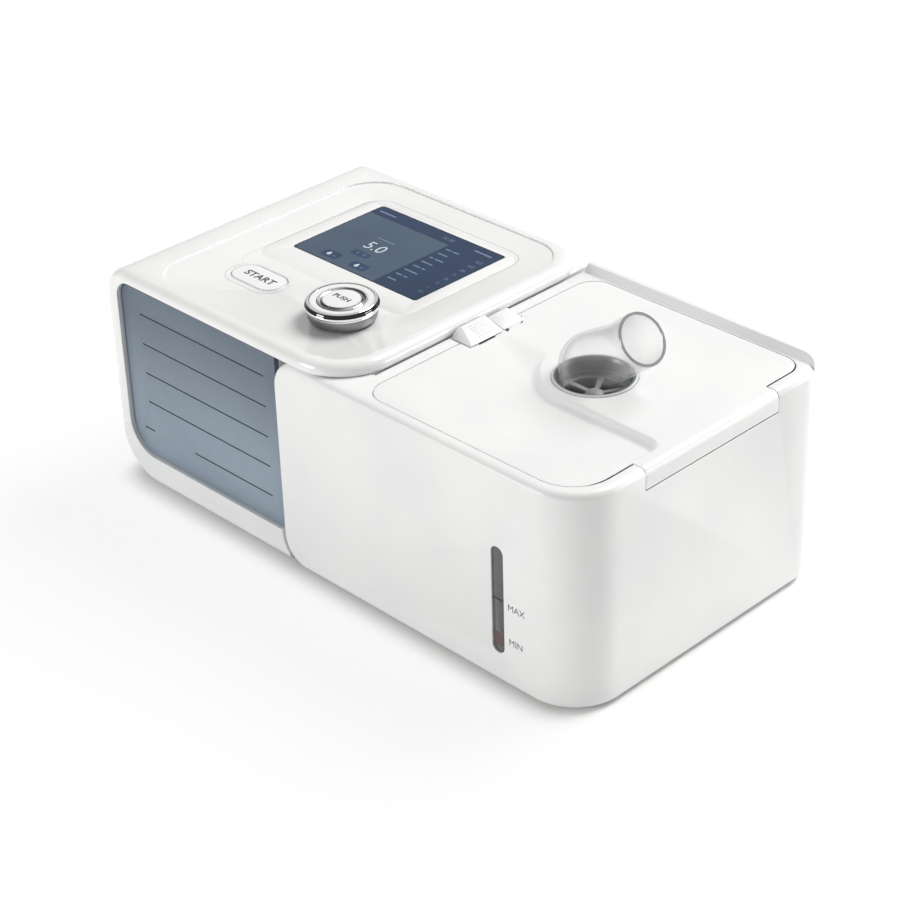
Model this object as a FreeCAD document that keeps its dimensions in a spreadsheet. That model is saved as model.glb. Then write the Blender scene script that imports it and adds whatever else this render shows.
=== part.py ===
"""Tabletop positive airway pressure machine with a heated humidifier, modelled in millimetres.

Every piece is drawn from one corner of the machine: x runs right from its left end, y runs back
from the humidifier's front face and z runs up from the table.  at() and new_body() then shift each
piece so that the origin lies on the table under the middle of the machine.
"""
import FreeCAD, Part
import math
import os
import re

import Sketcher

Vector = FreeCAD.Vector
doc = FreeCAD.newDocument("airway_machine")

# ---------------------------------------------------------------------------------------------
# Driving dimensions, in millimetres and degrees
# ---------------------------------------------------------------------------------------------
SIZES = {
    # whole machine: the main unit's top and the humidifier stand side by side
    "slab_right": 148.5, "humid_width": 122.9, "depth": 144, "humid_height": 97, "slab_gap": 0.5,
    "slab_thick": 5, "foot_proud": 1.2, "foot_seat": 0.8, "foot_radius": 6, "wall": 2.4, "edge_round": 3,
    "slab_round": 4, "seat_gap": 0.3,
    # main unit casing
    "band_front": 0.5, "top_left_round": 14, "low_left_round": 22, "slab_lap": 1,
    "slab_corner": 25, "slab_back_corner": 20, "seam_height": 26, "roof_round": 9,
    "dish_depth": 0.7, "dish_inset": 6, "dish_left": 22, "dish_corner": 19,
    "boss_drop": 4, "post_radius": 3, "post_inset": 4,
    "foot_inset": 10, "foot_margin": 16, "toe_foot": 28, "foot_side": 11.5,
    "screw_radius": 1.2, "screw_head": 1.2,
    # blue-grey front panel
    "panel_left": 8, "panel_bottom": 15, "panel_recess": 2.7,
    "panel_thick": 2.4, "panel_lap": 2.5, "panel_top_round": 8.5, "panel_low_round": 15,
    "groove_pitch": 14.15, "groove_low": 27.4, "groove_left": 20, "groove_end": 8,
    "groove_lead": 4.5, "groove_width": 0.7, "groove_depth": 0.6, "gap_left": 22, "gap_right": 49,
    # humidifier casing
    "cheek_reach": 41.5, "cheek_depth": 18, "cheek_round": 13, "dock_gap": 0.6,
    "front_corner": 23, "back_corner": 14, "toe_step": 3,
    "lip_depth": 6.5, "lip_height": 3.2, "lip_side": 1, "lip_slope": 2.4,
    # lid and its hinge
    "lid_side": 6.5, "lid_front": 5.4, "lid_end": 6, "lid_rear": 7.5, "lid_thick": 5, "lid_gap": 0.3,
    "lid_left_round": 10, "lid_right_round": 17.5, "lid_back_round": 9,
    "flap_front": 36.5, "flap_rear": 23.5, "flap_drop": 8.7, "flap_thick": 5,
    "hinge_drop": 2.5, "hinge_pin_radius": 1.2, "hinge_clear": 0.27, "pin_play": 0.05, "pin_reach": 5.5,
    "lug_thick": 5.7, "lug_drop": 3.8, "shell_under": 2.4, "liner_thick": 2.5, "gasket_thick": 1.2,
    "gasket_width": 4, "gasket_gap": 0.7,
    # scoop in the lid
    "scoop_side": 5, "scoop_end": 0.4, "scoop_front": 9, "scoop_wall": 54.7, "scoop_back": 83,
    "scoop_depth": 3.4, "scoop_corner": 7, "scoop_ramp": 32, "scoop_fade": 14, "scoop_heading": 123,
    "ring_reach": 25.7, "ring_round": 27.5, "ramp_size": 150, "ramp_thick": 20, "boss_radius": 21,
    # outlet port and elbow
    "port_side": 57, "port_y": 75, "port_ring_radius": 17, "port_ring_proud": 0.6,
    "elbow_radius": 14.2, "elbow_wall": 1.6, "elbow_rise": 5.4, "elbow_tilt": 51, "elbow_sink": 7,
    "elbow_flange": 2, "flange_thick": 1.7, "outlet_radius": 11, "outlet_wall": 1.4,
    "outlet_reach": 31, "cuff_length": 14, "baffle_hole": 3.6, "baffle_ring": 9,
    "baffle_lap": 2,
    # latch and the tab behind it
    "latch_side": 1.1, "latch_width": 11.4, "latch_front": 58.6, "latch_depth": 18.4,
    "latch_high": 3.9, "latch_low": 0.8, "latch_slant": 5, "latch_travel": 2, "neck_width": 2.2,
    "neck_side": 1.6, "neck_margin": 5, "foot_lap": 1.5, "foot_thick": 1.2, "foot_toe": 0.6,
    "latch_teeth": 5,
    "tooth_height": 0.35, "tab_side": 1.7, "tab_width": 10.3, "tab_gap": 1, "tab_depth": 12,
    "tab_high": 2.5,
    # water window
    "window_side": 44, "window_width": 6.4, "window_low": 14.9, "window_high": 63.1,
    "window_recess": 0.6, "window_thick": 1.6, "window_lap": 2,
    # screen and its printed surround
    "screen_side": 101.1, "screen_front": 65.4, "screen_width": 75, "screen_depth": 53.4,
    "screen_thick": 1.2, "screen_round": 1.5, "overlay_left_lap": 8.4, "overlay_right_lap": 6.6,
    "overlay_front_lap": 13.4, "overlay_back_lap": 2.2, "overlay_thick": 0.8, "overlay_round": 7,
    "board_lap": 13.4, "board_front": 24, "board_end": 10.5, "board_rear": 18, "board_thick": 1.6,
    # knob
    "knob_side": 36.7, "knob_y": 35.5, "knob_radius": 15.3, "knob_height": 8.2, "knob_gap": 1,
    "knob_travel": 0.5, "knob_seat": 4.4, "knob_soft": 0.9, "knob_ring_outer": 10.2,
    "knob_centre_radius": 7.8, "shaft_radius": 3, "encoder_width": 12,
    # start button
    "start_x": 59.5, "start_y": 36.5, "start_width": 28, "start_depth": 14.5, "start_travel": 0.6,
    "start_gap": 0.3, "key_flange": 1.2, "key_proud": 0.2, "key_soft": 0.5, "key_stop": 0.3,
    "switch_height": 1.5, "switch_side": 6, "stem_radius": 1.56,
    # blower
    "blower_x": 50, "blower_rear": 62, "volute_radius": 39, "volute_height": 24,
    "volute_wall": 2, "impeller_radius": 29, "blade_count": 11, "blade_root": 12, "blade_sweep": 40,
    "blade_thick": 1.2, "blade_bow": 0.12, "disc_thick": 1.5, "hub_radius": 5, "motor_radius": 17,
    "motor_height": 14, "motor_shaft_radius": 1.5, "eye_radius": 13, "mount_thick": 3,
    "duct_radius": 11, "duct_wall": 1.6, "duct_reach": 11, "spigot_reach": 5.5, "spigot_flange": 2.5,
    "spigot_lap": 4, "mount_lap": 3,
    # inlet silencer
    "muffler_left": 22, "muffler_depth": 99.6, "muffler_width": 70, "muffler_height": 37.4,
    "muffler_wall": 2, "foam_gap": 5.6, "foam_eye": 3,
    # water tank and heater
    "tank_wall": 1.8, "tank_low": 17, "tank_gap": 5, "tank_front_gap": 4.6, "tank_back_gap": 6.6,
    "tank_end": 10.5, "tank_round": 14, "tank_soft": 1.2, "tank_step": 2, "heater_radius": 40,
    "heater_thick": 3, "heater_gap": 0.5, "pad_hole": 20, "cup_height": 12, "seal_step": 2,
    # filter door and power inlet in the back
    "filter_left": 26, "filter_width": 60, "filter_low": 6, "filter_height": 17,
    "cover_thick": 2.2, "cover_pin_radius": 0.6, "cover_pin_reach": 1.5, "filter_thick": 8,
    "louvre_inset": 8, "louvre_low": 3, "louvre_width": 1.2, "louvre_rise": 9.8,
    "jack_side": 16, "jack_z": 14, "jack_radius": 3.2, "jack_depth": 8, "jack_lip": 0.8,
    "jack_block": 11, "jack_half": 6, "power_board_rise": 4.4, "power_gap": 4, "power_front": 24,
    "power_end": 5.5, "power_rear": 12, "power_post_y": 6,
    # electrical plug between the two units
    "socket_depth": 8, "plug_y": 40, "plug_z": 12, "plug_width": 20, "plug_height": 8,
    "plug_back": 4, "contact_radius": 1.2, "contact_reach": 5.5,
}

# Places that follow from the sizes: what sits beside, on or behind another piece moves with it.
PLACES = {
    "length": "slab_right + dock_gap + humid_width",
    "body_right": "slab_right - slab_lap",
    "cheek_left": "slab_right - cheek_reach",
    "toe_right": "cheek_left + toe_step",
    "panel_top": "humid_height + slab_gap",
    "groove_right": "cheek_left - groove_end",
    "screen_left": "slab_right - screen_side",
    "overlay_left": "screen_left - overlay_left_lap",
    "overlay_right": "screen_left + screen_width + overlay_right_lap",
    "overlay_front": "screen_front - overlay_front_lap",
    "overlay_back": "screen_front + screen_depth + overlay_back_lap",
    "board_left": "screen_left - board_lap",
    "board_right": "slab_right - board_end",
    "board_back": "depth - board_rear",
    "knob_x": "slab_right - knob_side",
    "blower_y": "depth - blower_rear",
    "blower_low": "foot_proud + wall + muffler_height + mount_thick",
    "duct_y": "blower_y + volute_radius - duct_radius",
    "duct_join": "blower_x + volute_radius + duct_reach",
    "muffler_front": "depth - wall - muffler_depth",
    "foam_back": "depth - wall - filter_thick - foam_gap",
    "power_left": "muffler_left + muffler_width + power_gap",
    "power_right": "body_right - power_end",
    "power_back": "depth - power_rear",
    "jack_x": "power_left + jack_side",
    "lid_left": "slab_right + lid_side",
    "lid_right": "length - lid_end",
    "lid_back": "depth - lid_rear",
    "lip_foot": "depth - lip_depth",
    "lip_left": "slab_right + lip_side",
    "flap_back": "lid_back - flap_rear",
    "flap_low": "humid_height - flap_drop",
    "scoop_left": "lid_left + scoop_side",
    "scoop_right": "lid_right - scoop_end",
    "port_x": "lid_left + port_side",
    "ring_left": "port_x - ring_reach",
    "latch_left": "slab_right + latch_side",
    "latch_right": "latch_left + latch_width",
    "latch_back": "latch_front + latch_depth",
    "tab_left": "slab_right + tab_side",
    "tab_right": "tab_left + tab_width",
    "tab_front": "latch_back + tab_gap",
    "tab_back": "tab_front + tab_depth",
    "window_left": "length - window_side",
    "tank_right": "length - tank_end",
    "tank_high": "humid_height - lid_thick - liner_thick - gasket_thick - gasket_gap",
    "heater_x": "(slab_right + dock_gap + wall + tank_gap + tank_right) / 2",
    "heater_y": "(depth + tank_front_gap - tank_back_gap) / 2",
}

sheet = doc.addObject("Spreadsheet::Sheet", "sizes")
for row, (alias, number) in enumerate(SIZES.items(), start=1):
    sheet.set("A%d" % row, alias)
    sheet.set("B%d" % row, str(number))
    sheet.setAlias("B%d" % row, alias)
doc.recompute()

NODES = []


def cell(text):
    """Turn a formula in plain names, such as 'lid_back - wall', into one that reads the sheet."""
    def name(match):
        word = match.group()
        if word in PLACES:
            return "(" + cell(PLACES[word]) + ")"
        return "sizes." + word if word in SIZES else word
    return re.sub(r"[a-z][a-z_0-9]*", name, text)


def value(text):
    """The number that a formula gives now."""
    return float(sheet.evalExpression(cell(text)))


def bind(thing, prop, text):
    thing.setExpression(prop, cell(text))


def at(thing, x, y, z):
    """Place a piece by its corner-frame position."""
    bind(thing, "Placement.Base.x", "%s - length / 2" % x)
    bind(thing, "Placement.Base.y", "%s - depth / 2" % y)
    bind(thing, "Placement.Base.z", z)


def node(thing, label):
    """Keep a piece as a sub-part of the machine."""
    thing.Label = label
    NODES.append(thing)
    return thing


# ---------------------------------------------------------------------------------------------
# Part primitives and booleans
# ---------------------------------------------------------------------------------------------
TURN = {
    "X": FreeCAD.Rotation(Vector(0, 1, 0), 90),
    "Y": FreeCAD.Rotation(Vector(1, 0, 0), -90),
    "Z": FreeCAD.Rotation(),
}


def box(x, y, z, width, depth, height):
    piece = doc.addObject("Part::Box", "block")
    at(piece, x, y, z)
    bind(piece, "Length", width)
    bind(piece, "Width", depth)
    bind(piece, "Height", height)
    return piece


def cylinder(x, y, z, radius, height, axis="Z"):
    """A cylinder whose base centre is the point given and which runs along +axis."""
    piece = doc.addObject("Part::Cylinder", "round")
    piece.Placement = FreeCAD.Placement(Vector(), TURN[axis])
    at(piece, x, y, z)
    bind(piece, "Radius", radius)
    bind(piece, "Height", height)
    return piece


def cone(x, y, z, low_radius, high_radius, height, axis="Z"):
    piece = doc.addObject("Part::Cone", "taper")
    piece.Placement = FreeCAD.Placement(Vector(), TURN[axis])
    at(piece, x, y, z)
    bind(piece, "Radius1", low_radius)
    bind(piece, "Radius2", high_radius)
    bind(piece, "Height", height)
    return piece


def sphere(x, y, z, radius):
    piece = doc.addObject("Part::Sphere", "ball")
    at(piece, x, y, z)
    bind(piece, "Radius", radius)
    return piece


def fuse(*pieces):
    if len(pieces) == 1:
        return pieces[0]
    joined = doc.addObject("Part::MultiFuse", "joined")
    joined.Shapes = list(pieces)
    return joined


def cut(base, *tools):
    piece = doc.addObject("Part::Cut", "cut")
    piece.Base = base
    piece.Tool = fuse(*tools)
    return piece


def common(*pieces):
    piece = doc.addObject("Part::MultiCommon", "common")
    piece.Shapes = list(pieces)
    return piece


def tube(x, y, z, outer, inner, height, axis="Z"):
    return cut(cylinder(x, y, z, outer, height, axis), cylinder(x, y, z, inner, height, axis))


def group(pieces):
    """Separate solids that share one node, such as a set of feet."""
    bundle = doc.addObject("Part::Compound", "group")
    bundle.Links = list(pieces)
    return bundle


# ---------------------------------------------------------------------------------------------
# Part Design bodies and their sketches
# ---------------------------------------------------------------------------------------------
def new_body(name, x="0", y="0", z="0"):
    body = doc.addObject("PartDesign::Body", name)
    at(body, x, y, z)
    return body


def sketch(body, plane, level="0"):
    """A sketch on one of the body's own planes, moved along +X, +Y or +Z to the level."""
    drawing = body.newObject("Sketcher::SketchObject", "outline")
    role = plane + "_Plane"
    support = [plane_ for plane_ in body.Origin.OriginFeatures if plane_.Role == role][0]
    drawing.AttachmentSupport = [(support, "")]
    drawing.MapMode = "FlatFace"
    sign = "-1 * " if plane == "XZ" else ""
    bind(drawing, "AttachmentOffset.Base.z", "%s(%s)" % (sign, level))
    return drawing


def hold(drawing, kind, geometry, point, text):
    """Hold one coordinate of a sketch point with a formula."""
    index = drawing.addConstraint(
        Sketcher.Constraint(kind, -1, 1, geometry, point, value(text)))
    drawing.setExpression("Constraints[%d]" % index, cell(text))


def hold_radius(drawing, geometry, text):
    index = drawing.addConstraint(Sketcher.Constraint("Radius", geometry, value(text)))
    drawing.setExpression("Constraints[%d]" % index, cell(text))


def circle(drawing, x, y, radius):
    centre = Vector(value(x), value(y), 0)
    ring = drawing.addGeometry(Part.Circle(centre, Vector(0, 0, 1), value(radius)), False)
    hold(drawing, "DistanceX", ring, 3, x)
    hold(drawing, "DistanceY", ring, 3, y)
    hold_radius(drawing, ring, radius)


def polygon(drawing, points):
    """A closed outline of straight lines through the points."""
    places = [Vector(value(x), value(y), 0) for x, y in points]
    count = len(places)
    lines = [drawing.addGeometry(Part.LineSegment(places[i], places[(i + 1) % count]), False)
             for i in range(count)]
    for i, line in enumerate(lines):
        drawing.addConstraint(
            Sketcher.Constraint("Coincident", line, 2, lines[(i + 1) % count], 1))
        hold(drawing, "DistanceX", line, 1, points[i][0])
        hold(drawing, "DistanceY", line, 1, points[i][1])


def rounded(drawing, corners):
    """A closed outline of level and upright lines: corners are (x, y) or (x, y, radius)."""
    count = len(corners)
    places = [Vector(value(c[0]), value(c[1]), 0) for c in corners]
    radii = [value(c[2]) if len(c) == 3 else 0.0 for c in corners]
    steps = []
    for i in range(count):
        steps.append((places[(i + 1) % count] - places[i]).normalize())
    lines = []
    for i in range(count):
        start = places[i] + steps[i] * radii[i]
        end = places[(i + 1) % count] - steps[i] * radii[(i + 1) % count]
        line = drawing.addGeometry(Part.LineSegment(start, end), False)
        level = abs(steps[i].y) < 0.5
        drawing.addConstraint(Sketcher.Constraint("Horizontal" if level else "Vertical", line))
        if level:
            hold(drawing, "DistanceY", line, 1, corners[i][1])
        else:
            hold(drawing, "DistanceX", line, 1, corners[i][0])
        lines.append(line)
    for i in range(count):
        before = lines[i - 1]
        if not radii[i]:
            drawing.addConstraint(Sketcher.Constraint("Coincident", before, 2, lines[i], 1))
            continue
        into, out = steps[i - 1], steps[i]
        centre = places[i] - into * radii[i] + out * radii[i]
        start_angle = math.atan2(-out.y, -out.x)
        end_angle = math.atan2(into.y, into.x)
        turning_left = into.x * out.y - into.y * out.x > 0
        if not turning_left:
            start_angle, end_angle = end_angle, start_angle
        arc_of = Part.Circle(centre, Vector(0, 0, 1), radii[i])
        arc = drawing.addGeometry(Part.ArcOfCircle(arc_of, start_angle, end_angle), False)
        first, last = (1, 2) if turning_left else (2, 1)
        drawing.addConstraint(Sketcher.Constraint("Tangent", before, 2, arc, first))
        drawing.addConstraint(Sketcher.Constraint("Tangent", arc, last, lines[i], 1))
        hold_radius(drawing, arc, corners[i][2])


def plate(drawing, left, low, right, high, radius=None):
    """A rectangle, with all four corners rounded where a radius is given."""
    corners = [(left, low), (right, low), (right, high), (left, high)]
    rounded(drawing, [c + (radius,) if radius else c for c in corners])


def solid_step(body, kind, drawing, length):
    """Pad or pocket a sketch along +X, +Y or +Z, and see that it changed the solid."""
    before = body.Shape.Volume if body.Tip else 0.0
    feature = body.newObject("PartDesign::" + kind, kind.lower())
    feature.Profile = drawing
    bind(feature, "Length", length)
    backwards = drawing.AttachmentSupport[0][0].Role == "XZ_Plane"
    feature.Reversed = backwards if kind == "Pad" else not backwards
    doc.recompute()
    grown = body.Shape.Volume - before
    if (grown <= 0) == (kind == "Pad"):
        raise ValueError("%s: %s changed its volume by %.3f" % (body.Name, kind, grown))
    return feature


def pad(body, drawing, length):
    return solid_step(body, "Pad", drawing, length)


def pocket(body, drawing, length):
    return solid_step(body, "Pocket", drawing, length)


def revolve(body, drawing):
    """Turn a sketch once round its own upright axis."""
    feature = body.newObject("PartDesign::Revolution", "turned")
    feature.Profile = drawing
    feature.ReferenceAxis = (drawing, ["V_Axis"])
    feature.Angle = 360
    doc.recompute()
    return feature


def blend(body, kind, size, wanted):
    """Fillet or chamfer the body's edges whose middle points pass the test."""
    base = body.Tip
    names = []
    for index, edge in enumerate(base.Shape.Edges, start=1):
        first, last = edge.ParameterRange
        if wanted(edge.valueAt((first + last) / 2), edge):
            names.append("Edge%d" % index)
    if not names:
        raise ValueError("%s: no edge to blend" % body.Name)
    feature = body.newObject("PartDesign::" + kind, kind.lower())
    feature.Base = (base, names)
    bind(feature, "Radius" if kind == "Fillet" else "Size", size)
    doc.recompute()
    return feature


def near(number, text, slack=0.05):
    return abs(number - value(text)) < slack


# heights and positions that several pieces share
SLAB_LOW = "(humid_height + slab_gap)"
MAIN_TOP = "(humid_height + slab_gap + slab_thick)"
SURFACE = "(humid_height + slab_gap + slab_thick - dish_depth)"
FLOOR = "(foot_proud + wall)"
BACK_IN = "(depth - wall)"
NOTCH_X = "(cheek_left - dock_gap)"
NOTCH_Y = "(cheek_depth + dock_gap)"
HUMID_LEFT = "(slab_right + dock_gap)"
HUMID_IN = "(slab_right + dock_gap + wall)"
BOARD_TOP = "(humid_height + slab_gap - boss_drop)"
BOARD_LOW = "(humid_height + slab_gap - boss_drop - board_thick)"
KNOB_LOW = "(humid_height + slab_gap + slab_thick - dish_depth + knob_gap)"
DUCT_Z = "(blower_low + volute_height / 2)"
VOLUTE_TOP = "(blower_low + volute_height)"
IMPELLER_LOW = "(blower_low + volute_wall + 1)"
IMPELLER_TOP = "(blower_low + volute_height - volute_wall - 1)"
POWER_LOW = "(foot_proud + wall + power_board_rise)"
POWER_TOP = "(foot_proud + wall + power_board_rise + board_thick)"
COVER_AXIS_X = "(filter_left + seat_gap + cover_thick / 2)"
COVER_AXIS_Y = "(depth - cover_thick / 2)"
HINGE_X = "(length - hinge_drop)"
HINGE_Z = "(flap_low + hinge_drop)"
LID_LOW = "(humid_height - lid_thick)"
LINER_LOW = "(humid_height - lid_thick - liner_thick)"
GASKET_LOW = "(humid_height - lid_thick - liner_thick - gasket_thick)"
ELBOW_LOW = "(humid_height - elbow_sink)"
KNEE_Z = "(humid_height + elbow_rise)"
TANK_LEFT = "(slab_right + dock_gap + wall + tank_gap)"
TANK_FRONT = "(wall + tank_front_gap)"
TANK_BACK = "(depth - wall - tank_back_gap)"
NECK_LEFT = "(lid_left + neck_side)"
NECK_FRONT = "(latch_front + neck_margin)"
NECK_BACK = "(latch_back - neck_margin)"

BOARD_POSTS = [(x, y) for y in ("board_front + post_inset", "board_back - post_inset")
               for x in ("board_left + post_inset", "board_right - post_inset")]
POWER_POSTS = [(x, y) for y in ("power_front + power_post_y", "power_back - power_post_y")
               for x in ("power_left + post_inset", "power_right - post_inset")]
MAIN_FEET = [("low_left_round + foot_inset", "foot_margin"),
             ("body_right - foot_side", "toe_foot"),
             ("low_left_round + foot_inset", "depth - foot_margin"),
             ("body_right - foot_side", "depth - foot_margin")]
HUMID_FEET = [(x, y) for y in ("foot_margin", "depth - foot_margin")
              for x in ("slab_right + foot_margin", "length - foot_margin")]
CONTACTS = ("0.2", "0.5", "0.8")




# ---------------------------------------------------------------------------------------------
# Main unit: casing
# ---------------------------------------------------------------------------------------------
def cut_front_window(body):
    """Open the casing's front where the blue-grey panel shows, and seat the panel's right end."""
    window = sketch(body, "XZ", "0")
    rounded(window, [
        ("panel_left", "panel_bottom", "panel_low_round"),
        ("cheek_left", "panel_bottom"),
        ("cheek_left", "panel_top"),
        ("panel_left", "panel_top", "panel_top_round"),
    ])
    pocket(body, window, "panel_recess")
    seat = sketch(body, "XZ", "panel_recess")
    plate(seat, NOTCH_X + " - wall - 1", "panel_bottom - panel_lap", "cheek_left", SLAB_LOW)
    pocket(body, seat, "panel_thick")


def make_main_shell():
    """One C-shaped skin: left side, top slab and back, with the roof hung over the humidifier."""
    body = new_body("main_shell_body")
    profile = sketch(body, "XZ", "band_front")
    rounded(profile, [
        ("0", "seam_height"),
        ("0", MAIN_TOP, "top_left_round"),
        ("slab_right", MAIN_TOP),
        ("slab_right", SLAB_LOW),
        ("body_right", SLAB_LOW),
        ("body_right", "seam_height"),
    ])
    pad(body, profile, "depth - band_front")

    hollow = sketch(body, "XZ", "panel_recess")
    rounded(hollow, [
        ("wall", "seam_height"),
        ("wall", SLAB_LOW, "roof_round"),
        (NOTCH_X + " - wall", SLAB_LOW),
        (NOTCH_X + " - wall", "seam_height"),
    ])
    pocket(body, hollow, "depth - wall - panel_recess")
    bay = sketch(body, "XZ", NOTCH_Y + " + wall")
    plate(bay, "wall + roof_round", "seam_height", "body_right - wall", SLAB_LOW)
    pocket(body, bay, "depth - wall - wall - (%s)" % NOTCH_Y)
    notch = sketch(body, "XZ", "0")
    plate(notch, NOTCH_X, "0", "slab_right + wall", SLAB_LOW)
    pocket(body, notch, NOTCH_Y)

    # webs under the slab's right-hand corners close the casing where the slab is rounded off
    webs = sketch(body, "XY", SLAB_LOW + " - wall")
    plate(webs, "slab_right - slab_corner - wall", NOTCH_Y, "body_right", "slab_corner + wall")
    plate(webs, "slab_right - slab_back_corner - wall", "depth - slab_back_corner - wall",
          "body_right", "depth")
    pad(body, webs, "wall")

    # the slab's two right-hand corners are rounded in plan, above the body's walls only
    trim = sketch(body, "XY", SLAB_LOW)
    plate(trim, "-20", "-20", "slab_right + 20", "depth + 20")
    rounded(trim, [
        ("-10", "band_front"),
        ("slab_right", "band_front", "slab_corner"),
        ("slab_right", "depth", "slab_back_corner"),
        ("-10", "depth"),
    ])
    pocket(body, trim, "slab_thick + 1")
    blend(body, "Fillet", "slab_round", lambda p, edge: near(p.z, MAIN_TOP) and p.x > value("top_left_round"))
    cut_front_window(body)

    dish = sketch(body, "XY", SURFACE)
    plate(dish, "dish_left", "dish_inset", "slab_right - dish_inset", "depth - dish_inset", "dish_corner")
    pocket(body, dish, "dish_depth + 1")
    overlay = sketch(body, "XY", SURFACE + " - overlay_thick")
    plate(overlay, "overlay_left", "overlay_front", "overlay_right", "overlay_back", "overlay_round")
    pocket(body, overlay, "overlay_thick + 1")
    screen = sketch(body, "XY", SLAB_LOW + " - 1")
    plate(screen, "screen_left", "screen_front", "screen_left + screen_width",
          "screen_front + screen_depth", "screen_round")
    pocket(body, screen, "slab_thick + 2")
    keys = sketch(body, "XY", SLAB_LOW + " - 1")
    plate(keys, "start_x - start_width / 2 - start_gap", "start_y - start_depth / 2 - start_gap",
          "start_x + start_width / 2 + start_gap", "start_y + start_depth / 2 + start_gap",
          "start_depth / 2 + start_gap - 0.05")
    circle(keys, "knob_x", "knob_y", "shaft_radius + start_gap")
    pocket(body, keys, "slab_thick + 2")

    bosses = sketch(body, "XY", SLAB_LOW + " - boss_drop")
    for x, y in BOARD_POSTS:
        circle(bosses, x, y, "post_radius")
    pad(body, bosses, "boss_drop")
    holes = sketch(body, "XY", BOARD_TOP)
    for x, y in BOARD_POSTS:
        circle(holes, x, y, "screw_radius")
    pocket(body, holes, "boss_drop")
    port = sketch(body, "YZ", "body_right - wall - 1")
    circle(port, "duct_y", DUCT_Z, "duct_radius + seat_gap")
    pocket(body, port, "wall + 2")
    return body


def make_base_tray():
    """The lower casing, whose toe runs on under the humidifier's rounded cheek."""
    body = new_body("base_tray_body")
    profile = sketch(body, "XZ", "band_front")
    rounded(profile, [
        ("0", "seam_height"),
        ("body_right", "seam_height"),
        ("body_right", "foot_proud"),
        ("0", "foot_proud", "low_left_round"),
    ])
    pad(body, profile, "depth - band_front")
    notch = sketch(body, "XZ", "0")
    rounded(notch, [
        (NOTCH_X, "seam_height"),
        ("slab_right + wall", "seam_height"),
        ("slab_right + wall", "foot_proud - dock_gap"),
        (NOTCH_X, "foot_proud - dock_gap", "cheek_round + dock_gap"),
    ])
    pocket(body, notch, NOTCH_Y)
    toe = sketch(body, "XZ", "0")
    plate(toe, "toe_right", "0", "slab_right + wall", "seam_height")
    pocket(body, toe, NOTCH_Y)
    blend(body, "Fillet", "slab_round",
          lambda p, edge: near(p.z, "foot_proud") and (near(p.y, "band_front") or near(p.y, "depth")))

    hollow = sketch(body, "XZ", "panel_recess")
    rounded(hollow, [
        ("wall", "seam_height"),
        (NOTCH_X + " - wall", "seam_height"),
        (NOTCH_X + " - wall", "foot_proud + wall"),
        ("wall", "foot_proud + wall", "low_left_round - wall"),
    ])
    pocket(body, hollow, "depth - wall - panel_recess")
    bay = sketch(body, "XZ", NOTCH_Y + " + wall")
    plate(bay, "low_left_round + wall", "foot_proud + wall", "body_right - wall", "seam_height")
    pocket(body, bay, "depth - wall - wall - (%s)" % NOTCH_Y)
    cut_front_window(body)

    filter_hole = sketch(body, "XZ", "depth - wall - 1")
    plate(filter_hole, "filter_left", "filter_low", "filter_left + filter_width",
          "filter_low + filter_height")
    circle(filter_hole, "jack_x", "jack_z", "jack_radius + jack_lip")
    pocket(body, filter_hole, "wall + 2")
    socket = sketch(body, "YZ", "body_right - wall - 1")
    plate(socket, "plug_y", "plug_z", "plug_y + plug_width", "plug_z + plug_height")
    pocket(body, socket, "wall + 2")
    pins = sketch(body, "XY", "filter_low - cover_pin_reach - seat_gap")
    circle(pins, COVER_AXIS_X, COVER_AXIS_Y, "cover_pin_radius + pin_play")
    pocket(body, pins, "filter_height + 2 * (cover_pin_reach + seat_gap)")

    feet = sketch(body, "XY", "foot_proud")
    for x, y in MAIN_FEET:
        circle(feet, x, y, "foot_radius")
    pocket(body, feet, "foot_seat")
    posts = sketch(body, "XY", "foot_proud + wall")
    for x, y in POWER_POSTS:
        circle(posts, x, y, "post_radius")
    pad(body, posts, "power_board_rise")
    holes = sketch(body, "XY", FLOOR)
    for x, y in POWER_POSTS:
        circle(holes, x, y, "screw_radius")
    pocket(body, holes, "power_board_rise")
    return body


def make_front_panel():
    """The blue-grey front plate with five pressed lines, the lowest one broken by a bare gap."""
    body = new_body("front_panel_body")
    outline = sketch(body, "XZ", "panel_recess")
    rounded(outline, [
        ("panel_left - panel_lap", "panel_bottom - panel_lap", "panel_low_round + panel_lap"),
        (NOTCH_X, "panel_bottom - panel_lap"),
        (NOTCH_X, SLAB_LOW),
        ("panel_left - panel_lap", SLAB_LOW, "panel_top_round + panel_lap"),
    ])
    pad(body, outline, "panel_thick")
    low = sketch(body, "XZ", "panel_recess")
    for left, right in (("groove_left - groove_lead", "gap_left"), ("gap_right", "groove_right")):
        plate(low, left, "groove_low - groove_width / 2", right, "groove_low + groove_width / 2")
    pocket(body, low, "groove_depth")
    line = sketch(body, "XZ", "panel_recess")
    plate(line, "groove_left", "groove_low + groove_pitch - groove_width / 2",
          "groove_right", "groove_low + groove_pitch + groove_width / 2")
    first = pocket(body, line, "groove_depth")
    lines = body.newObject("PartDesign::LinearPattern", "lines")
    lines.Originals = [first]
    lines.Direction = (line, ["V_Axis"])
    lines.Occurrences = 4
    bind(lines, "Length", "groove_pitch * 3")
    body.Tip = lines
    return body


def make_feet(places, z="0"):
    """Rubber feet, each seated in a shallow pocket under a casing."""
    return group([cylinder(x, y, z, "foot_radius", "foot_proud + foot_seat") for x, y in places])


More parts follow.
